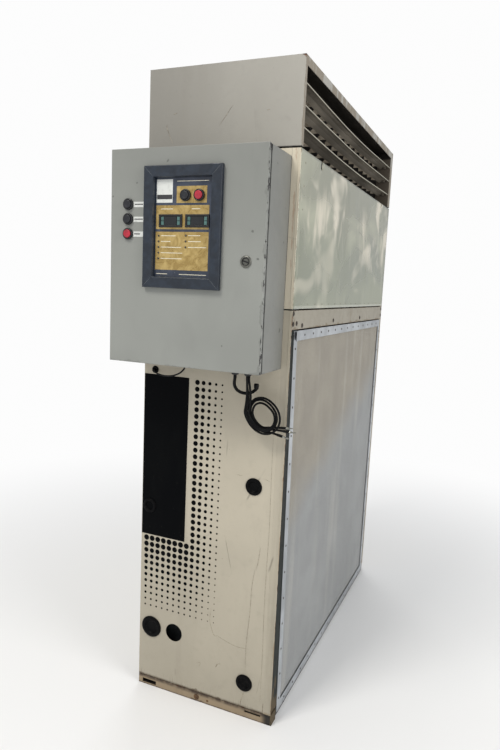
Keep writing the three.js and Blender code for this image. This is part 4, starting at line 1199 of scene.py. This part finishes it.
def add_media(made):
    low, high = MEDIA

    def wave(y, z):
        edge = min(1.0, (y - low.y) / 0.06, (high.y - y) / 0.06, (z - low.z) / 0.06, (high.z - z) / 0.06)
        belly = noise.noise(Vector((y * 3.2, z * 2.4, 4.1)))
        ripple = noise.noise(Vector((y * 12.0, z * 7.0, 9.7)))
        return 0.0008 + max(0.0, edge) * (0.0014 + 0.0009 * belly + 0.0004 * ripple)

    bm = bmesh.new()
    grid_sheet(bm, high.x, fine(low.y, high.y, 0.014), fine(low.z, high.z, 0.014),
               high.x - low.x - 0.0006, wave)
    add_piece("filter_cloth", bm, made["media"], "cabinet", smooth=True,
              stands_for=("filter_media",))


# ---------------------------------------------------------------- outlet blades

# Underside of a blade from rear to front lip: (distance along the chord, height).
BLADE_SECTION = [(-0.0200, -0.0060), (-0.0064, 0.0004), (-0.0052, 0.0010), (0.0052, 0.0028), (0.0064, 0.0030),
                 (0.0168, 0.0012), (0.0190, 0.0006), (0.0205, -0.0006), (0.0201, -0.0020)]
BLADE_SAGS = (0.0105, 0.008, 0.010)
BLADE_SHEET = 0.0016
BLADE_PIN = 0.003
BLADE_SLEEVE = 0.014


def add_blades(made):
    """Thin folded blades that have bowed down between their pivots."""
    for i, sag in enumerate(BLADE_SAGS):
        node = f"outlet_blade_{i + 1}"
        low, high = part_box(node)
        axis_z = BLADE_TOP - i * BLADE_PITCH
        y0, y1 = low.y + 0.011, high.y - 0.011
        bm = bmesh.new()
        rows = []
        for y in spaced(y0, y1, 61):
            share = (y - y0) / (y1 - y0)
            drop = -sag * math.sin(math.pi * share ** 0.92) ** 1.3
            z = axis_z + drop + 0.0007 * noise.noise(Vector((y * 6, i * 3.1, 0.7)))
            upper = [bm.verts.new((BLADE_AXIS_X + s, y, z + h + BLADE_SHEET)) for s, h in BLADE_SECTION]
            under = [bm.verts.new((BLADE_AXIS_X + s, y, z + h)) for s, h in reversed(BLADE_SECTION)]
            rows.append(upper + under)
        bridge(bm, rows)
        for direction, y_in, y_out, inward in (("-y", y0, low.y, 1), ("+y", y1, high.y, -1)):
            sleeve = sorted((y_in, y_in + inward * BLADE_SLEEVE))
            block(bm, (BLADE_AXIS_X - 0.004, sleeve[0], axis_z - 0.004),
                  (BLADE_AXIS_X + 0.004, sleeve[1], axis_z + 0.004), 0.0008)
            reach = abs(y_out - y_in)
            turned(bm, [(0, -0.004), (BLADE_PIN, -0.004), (BLADE_PIN, reach), (0, reach)],
                   (BLADE_AXIS_X, y_in, axis_z), direction, 16)
        add_piece(f"blade_{i + 1}_folded", bm, made["blade"], f"blade_{i + 1}",
                  stands_for=(node,))


# ---------------------------------------------------------------- enclosure door fittings

WINDOW_MEMBER = 0.029


def add_window(made):
    """A mitred frame: a flat face with rounded shoulders, sloping in to the fascia, with painted highlights
    along its mitres.
    """
    low, high = WINDOW
    depth = high.y - low.y
    wide = WINDOW_MEMBER
    section = [(0, 0), (0, depth - 0.0015), (0.0006, depth - 0.0004), (0.0018, depth),
               (wide - 0.0028, depth), (wide - 0.0018, depth - 0.0006), (wide - 0.0004, depth - 0.0050),
               (wide, depth - 0.0070), (wide, 0)]
    bm = bmesh.new()
    corners = [(low.x, low.z, 1, 1), (high.x, low.z, -1, 1), (high.x, high.z, -1, -1), (low.x, high.z, 1, -1)]
    rows = [[bm.verts.new((x + sx * s, high.y - h, z + sz * s)) for s, h in section]
            for x, z, sx, sz in corners]
    bridge(bm, rows, closed=True)
    add_piece("window_moulding", bm, made["window"], "door", stands_for=("window_frame",))
    # Painted highlights: pale lines along the mitres.
    bm = bmesh.new()
    for x, z, sx, sz in corners:
        line = [(x + sx * s, low.y, z + sz * s) for s in (0.0012, 0.010, 0.018, wide - 0.0028)]
        strip(bm, line, 0.0007, (0, -1, 0), lift=0.00005, thickness=0.0001)
    add_piece("mitre_highlight_lines", bm, made["mitre"], "door")


def plate(bm, x0, x1, z0, z1, y_back, thickness, rounding=0.0):
    block(bm, (x0, y_back - thickness, z0), (x1, y_back, z1), rounding)


def add_fascia_print(made):
    """Gold areas, a blank white label and short plain bars on the dark fascia. It bears no lettering."""
    face = FASCIA[0].y
    bm = bmesh.new()
    gold = [(-0.0435, 0.0425, 1.470, 1.511), (-0.1025, 0.050, 1.4055, 1.4645),
            (-0.103, 0.0505, 1.3035, 1.399)]
    for x0, x1, z0, z1 in gold:
        plate(bm, x0, x1, z0, z1, face, 0.00025)
    add_piece("gold_panels", bm, made["gold"], "door")

    bm = bmesh.new()
    plate(bm, -0.1020, -0.0553, 1.471, 1.528, face, 0.0003)
    add_piece("blank_label", bm, made["label"], "door")
    bm = bmesh.new()
    plate(bm, -0.1008, -0.0564, 1.4795, 1.4905, face - 0.0003, 0.0002)
    add_piece("label_band", bm, made["dark_print"], "door")

    bm = bmesh.new()
    lamps = [(-0.0935, z) for z in spaced(1.389, 1.332, 5)] + [(-0.014, z) for z in spaced(1.390, 1.361, 3)]
    for x, z in lamps:
        turned(bm, [(0, 0), (0.0026, 0), (0.0026, 0.0008), (0.0020, 0.0018), (0.0010, 0.0024), (0, 0.0026)],
               (x, face - 0.0002, z), "-y", 18)
    add_piece("pilot_lamps", bm, made["lamp"], "door", smooth=True)

    bm = bmesh.new()
    lengths = (0.043, 0.028, 0.060, 0.064, 0.062, 0.034, 0.036, 0.052)
    for (x, z), length in zip(lamps, lengths):
        plate(bm, x + 0.007, x + 0.007 + length, z - 0.0008, z + 0.0008, face - 0.00025, 0.00012)
    for x0, x1, z in ((-0.043, 0.047, 1.523), (-0.099, -0.066, 1.293), (-0.031, 0.047, 1.293),
                      (-0.088, -0.053, 1.4555), (0.001, 0.025, 1.4555)):
        plate(bm, x0, x1, z - 0.0008, z + 0.0008, face - 0.00025, 0.00012)
    add_piece("legend_bars", bm, made["legend"], "door")


def add_controllers(made):
    """Panel controllers: a rounded bezel, a sunk dark window and two pale keys on each side of it."""
    for node in ("controller_left", "controller_right"):
        low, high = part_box(node)
        centre = (low + high) / 2
        face = FASCIA[0].y
        front = low.y
        bm = bmesh.new()
        half_w, half_h = (high.x - low.x) / 2, (high.z - low.z) / 2
        x0, x1, z0, z1 = centre.x - half_w, centre.x + half_w, centre.z - half_h, centre.z + half_h
        for part in ((x0, x1, z1 - 0.0045, z1), (x0, x1, z0, z0 + 0.0045),
                     (x0, x0 + 0.005, z0 + 0.0045, z1 - 0.0045), (x1 - 0.005, x1, z0 + 0.0045, z1 - 0.0045)):
            plate(bm, *part, face - 0.0003, face - 0.0003 - front)
        block(bm, (x0 + 0.0024, face - 0.0012, z0 + 0.0024), (x1 - 0.0024, high.y, z1 - 0.0024), 0.0006)
        housing = add_piece(node + "_housing", bm, made["black_plastic"], "door",
                            stands_for=(node,))
        soften(housing, 0.0006, 2)
        bm = bmesh.new()
        plate(bm, x0 + 0.017, x1 - 0.017, z0 + 0.0055, z1 - 0.0055, face - 0.0012, 0.0011, 0.0003)
        add_piece(node + "_display", bm, made["display"], "door")
        bm = bmesh.new()
        for key_x0, key_x1 in ((x0 + 0.0065, x0 + 0.0145), (x1 - 0.0145, x1 - 0.0065)):
            for key_z0, key_z1 in ((centre.z + 0.0008, z1 - 0.006), (z0 + 0.006, centre.z - 0.0008)):
                plate(bm, key_x0, key_x1, key_z0, key_z1, face - 0.0012, 0.0012, 0.0004)
        add_piece(node + "_keys", bm, made["key"], "door")


BUTTONS = {
    "door_button_upper": ("button_upper", "button_black"),
    "door_button_middle": ("button_middle", "button_black"),
    "door_button_lower": ("button_lower", "button_red"),
    "fascia_button_left": ("button_left", "button_black"),
    "fascia_button_right": ("button_right", "button_red"),
}


def add_buttons(made):
    """Push-buttons: a rounded bezel ring on the door and a domed cap that slides in it."""
    for node, (body, finish) in BUTTONS.items():
        low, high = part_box(node)
        centre = (low + high) / 2
        cap_top = DOOR_FACE - low.y
        bm = bmesh.new()
        closed_ring(bm, [(0.0109, 0.0004), (0.0148, 0.0004), (0.0150, 0.0020), (0.0146, 0.0050),
                         (0.0136, 0.0062), (0.0120, 0.0064), (0.0110, 0.0056)],
                    (centre.x, DOOR_FACE, centre.z), "-y", 48)
        add_piece(node + "_bezel", bm, made["bezel"], "door", smooth=True)
        bm = bmesh.new()
        turned(bm, [(0, -0.020), (0.006, -0.020), (0.006, 0.002), (0.0105, 0.002), (0.0105, cap_top - 0.0016),
                    (0.0100, cap_top - 0.0005), (0.0088, cap_top - 0.0001), (0.0070, cap_top - 0.0006),
                    (0.0030, cap_top - 0.0009), (0, cap_top - 0.0010)],
               (centre.x, DOOR_FACE, centre.z), "-y", 40)
        add_piece(node + "_cap", bm, made[finish], body, smooth=True, stands_for=(node,))


def add_label_strips(made):
    """Blank strips beside the door's push-buttons."""
    bm = bmesh.new()
    edge = WINDOW[0].x
    for node in list(BUTTONS)[:3]:
        z = middle(node).z
        plate(bm, edge - 0.037, edge - 0.001, z - 0.0075, z + 0.0060, DOOR_FACE - 0.0001, 0.0003)
    add_piece("label_strips", bm, made["label"], "door")
    bm = bmesh.new()
    for node, length in zip(list(BUTTONS)[:3], (0.026, 0.026, 0.018)):
        z = middle(node).z
        plate(bm, edge - 0.034, edge - 0.034 + length, z - 0.0016, z + 0.0010, DOOR_FACE - 0.0004, 0.0001)
    add_piece("label_strip_bars", bm, made["dark_print"], "door")


def add_latch(made):
    low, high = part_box("lock_core")
    x, z = (low.x + high.x) / 2, high.z - 0.0085
    bm = bmesh.new()
    closed_ring(bm, [(0.0092, 0.0001), (0.0146, 0.0001), (0.0148, 0.0012), (0.0138, 0.0026), (0.0120, 0.0032),
                     (0.0100, 0.0030), (0.0092, 0.0022)], (x, DOOR_FACE, z), "-y", 56)
    add_piece("latch_flange", bm, made["core"], "door", smooth=True)

    bm = bmesh.new()
    turned(bm, [(0, -0.0193), (0.0083, -0.0193), (0.0083, 0.0016), (0.0077, 0.0024), (0, 0.0025)],
           (x, DOOR_FACE, z), "-y", 40)
    block(bm, (x - 0.008, high.y - 0.0025, low.z), (x + 0.008, high.y, z + 0.0080), 0.0006)
    core = add_piece("latch_core", bm, made["core"], "lock", stands_for=("lock_core",))
    soften(core, 0.0003, 2)
    # A black plate as painted shade in the keyway.
    bm = bmesh.new()
    slot_turn = Matrix.Rotation(math.radians(15), 4, "Y")
    block(bm, (-0.0072, -0.0003, -0.0019), (0.0072, 0.0003, 0.0019), 0.0002)
    bm.transform(Matrix.Translation((x, DOOR_FACE - 0.0026, z)) @ slot_turn)
    add_piece("latch_slot", bm, made["void"], "lock")
    bm = bmesh.new()
    closed_ring(bm, [(0.0084, 0.0012), (0.0104, 0.0012), (0.0104, 0.0031), (0.0084, 0.0031)],
                (x, DOOR_FACE, z), "-y", 48)
    add_piece("latch_shadow_ring", bm, made["void"], "door", smooth=True)


def add_door_seal(made):
    """Foam seal round the mouth of the enclosure, between its body and the door."""
    low, high = ENCLOSURE
    bm = bmesh.new()
    inset, width = 0.0012, 0.007
    y0, y1 = DOOR[1].y - 0.0002, low.y - 0.0002
    for box in (((low.x + inset, high.x - inset), (high.z - inset - width, high.z - inset)),
                ((low.x + inset, high.x - inset), (low.z + inset, low.z + inset + width)),
                ((low.x + inset, low.x + inset + width), (low.z + inset + width, high.z - inset - width)),
                ((high.x - inset - width, high.x - inset), (low.z + inset + width, high.z - inset - width))):
        (x0, x1), (z0, z1) = box
        block(bm, (x0, y0 + 0.0006, z0), (x1, y1, z1), 0.0004)
    add_piece("door_seal", bm, made["rubber"], "cabinet")


# ---------------------------------------------------------------- finishes for every CAD node

def make_materials():
    made = {f"cream_{name}": material for name, material in cream_materials().items()}
    made["side_sheet"] = side_sheet_material()
    made["media"] = media_material()
    made["strip"] = frame_strip_material()
    made["blade"] = blade_material()
    made["galvanised"] = bare_metal("galvanised", srgb(150, 152, 154), 0.45, 0.7)
    made["vane"] = vane_material()
    made["fins"] = fin_material()
    made["aluminium"] = bare_metal("cast_aluminium", srgb(158, 160, 162), 0.4, 0.85)
    made["copper"] = bare_metal("copper_tube", srgb(176, 108, 74), 0.32, 0.9)
    made["tin"] = bare_metal("plated_metal", srgb(150, 150, 142), 0.3, 0.85, 300)
    made["dark_strip"] = paint("dark_strip", srgb(42, 45, 43), streaks=0.3, cracks=0.2, gloss=0.6, shine=0.1,
                               stain=[(Z, 0.03, 0.3)])
    # The door's sweep is painted shade, a darker reflection towards its top.
    made["door"] = powder_coat("door_grey", srgb(140, 142, 137),
                               chips=[(X, DOOR[1].x, 0.004), (Z, DOOR[0].z, 0.002)],
                               stain=[(Z, DOOR[0].z, 0.02), (X, DOOR[1].x, 0.02)],
                               sweep=(Z, DOOR[1].z, 1.25, 0.86), lines=[(Y, DOOR[1].y, 0.0045)])
    # Painted shade inside the enclosure's box.
    made["enclosure"] = powder_coat("enclosure_grey", srgb(120, 121, 117),
                                    chips=[(Y, ENCLOSURE[0].y, 0.0025)],
                                    stain=[(Y, ENCLOSURE[0].y, 0.015), (Z, ENCLOSURE[0].z, 0.03)],
                                    inside=ENCLOSURE)
    made["black_plastic"] = moulded("black_plastic", srgb(22, 23, 25))
    made["window"] = moulded("window_black", srgb(31, 39, 50), 0.42, 500)
    # Pale lines as painted highlights on the frame's mitres.
    made["mitre"] = plain_print("mitre_highlight_line", srgb(98, 102, 106))
    made["bezel"] = moulded("bezel_black", srgb(22, 23, 27), 0.38)
    made["button_black"] = moulded("button_black", srgb(30, 32, 38), 0.42)
    made["button_red"] = moulded("button_red", srgb(168, 40, 56), 0.36)
    made["rubber"] = moulded("rubber_black", srgb(2, 2, 3), 0.5, 420, specular_ior_level=0.1)
    made["cable"] = moulded("cable_sheath", srgb(4, 5, 7), 0.45, 700, specular_ior_level=0.16)
    made["sleeve"] = moulded("heat_shrink", srgb(4, 4, 5), 0.46, 500, specular_ior_level=0.18)
    made["enamel"] = moulded("black_enamel", srgb(28, 29, 31), 0.3, 200, coat_weight=0.3)
    made["foam"] = moulded("foam_insulation", srgb(36, 38, 40), 0.8, 260)
    made["fascia"] = fascia_material()
    made["gold"] = gold_material()
    made["label"] = plain_print("label_white", srgb(212, 214, 210))
    made["legend"] = plain_print("legend_pale", srgb(224, 218, 198), 0.75)
    made["dark_print"] = plain_print("dark_print", srgb(52, 52, 54))
    # Black for painted shade: the keyway and the ring round the latch.
    made["void"] = plain_print("slot_shade_black", srgb(8, 8, 8))
    made["core"] = bare_metal("latch_core_metal", srgb(112, 112, 106), 0.35, 0.8, 300)
    made["lamp"] = moulded("lamp_lens", srgb(46, 40, 36), 0.2, 900, coat_weight=0.5)
    made["display"] = moulded("display_window", srgb(19, 23, 25), 0.12, 900, coat_weight=0.6)
    made["key"] = moulded("key_pad", srgb(74, 108, 104), 0.45)
    made["graphic"] = graphic_material()
    made["rust"] = rust_material()
    made["scratch"] = scratch_material()
    made["dark_screw"] = bare_metal("dark_screw", srgb(72, 66, 60), 0.5, 0.5, 400)
    made["zinc_screw"] = bare_metal("zinc_screw", srgb(136, 132, 122), 0.4, 0.75, 400)
    made["sheet_rivet"] = bare_metal("sheet_rivet", srgb(150, 148, 134), 0.4, 0.5, 400)
    return made


FINISHES = {
    "cream_front": ["front_lower_panel"],
    "cream_trim": ["front_edge_trim"],
    "cream_upper": ["front_upper_panel"],
    "cream_rail": ["side_cross_rail"],
    "cream_side": ["left_lower_panel", "left_upper_panel"],
    "cream_rear": ["rear_panel"],
    "cream_post": ["post_front_left", "post_rear_left", "post_rear_right"],
    "dark_strip": ["post_front_right"],
    "strip": ["filter_frame"],
    "galvanised": ["floor_pan", "fan_deck", "mounting_plate"],
    "fins": ["condenser_coil"],
    "aluminium": ["fan_propeller_front", "fan_propeller_rear"],
    "copper": ["suction_line", "discharge_line"],
    "enamel": ["compressor", "water_pump", "fan_motor_front", "fan_motor_rear"],
    "foam": ["water_tank", "plate_evaporator"],
    "black_plastic": ["contactor_row"],
    "fascia": ["control_fascia"],
    "enclosure": ["door_hinge"],
}


def dress_cad_nodes(made):
    for finish, nodes in FINISHES.items():
        for node in nodes:
            dress(node, made[finish], 0.0004)
    dress("hood_shell", made["cream_hood"], 0.0012, 3)
    dress("base_frame", made["cream_base"], 0.0012, 3)
    dress("enclosure_body", made["enclosure"], 0.0016, 3)
    dress("enclosure_door", made["door"], 0.0018, 3)
    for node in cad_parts:
        if node.startswith("vane_bank"):
            dress(node, made["vane"], 0.0002)


# ---------------------------------------------------------------- the whole scene

def main():
    add_camera()
    made = make_materials()
    add_cables(made)
    add_studio()
    dress_cad_nodes(made)
    add_glands(made)
    add_graphic(made)
    add_scratches(made)
    add_grommets(made)
    add_base_fittings(made)
    add_side_fasteners(made)
    add_trim_fold(made)
    add_panel_screws(made)
    add_side_sheet(made)
    add_media(made)
    add_blades(made)
    add_window(made)
    add_fascia_print(made)
    add_controllers(made)
    add_buttons(made)
    add_label_strips(made)
    add_latch(made)
    add_door_seal(made)


main()
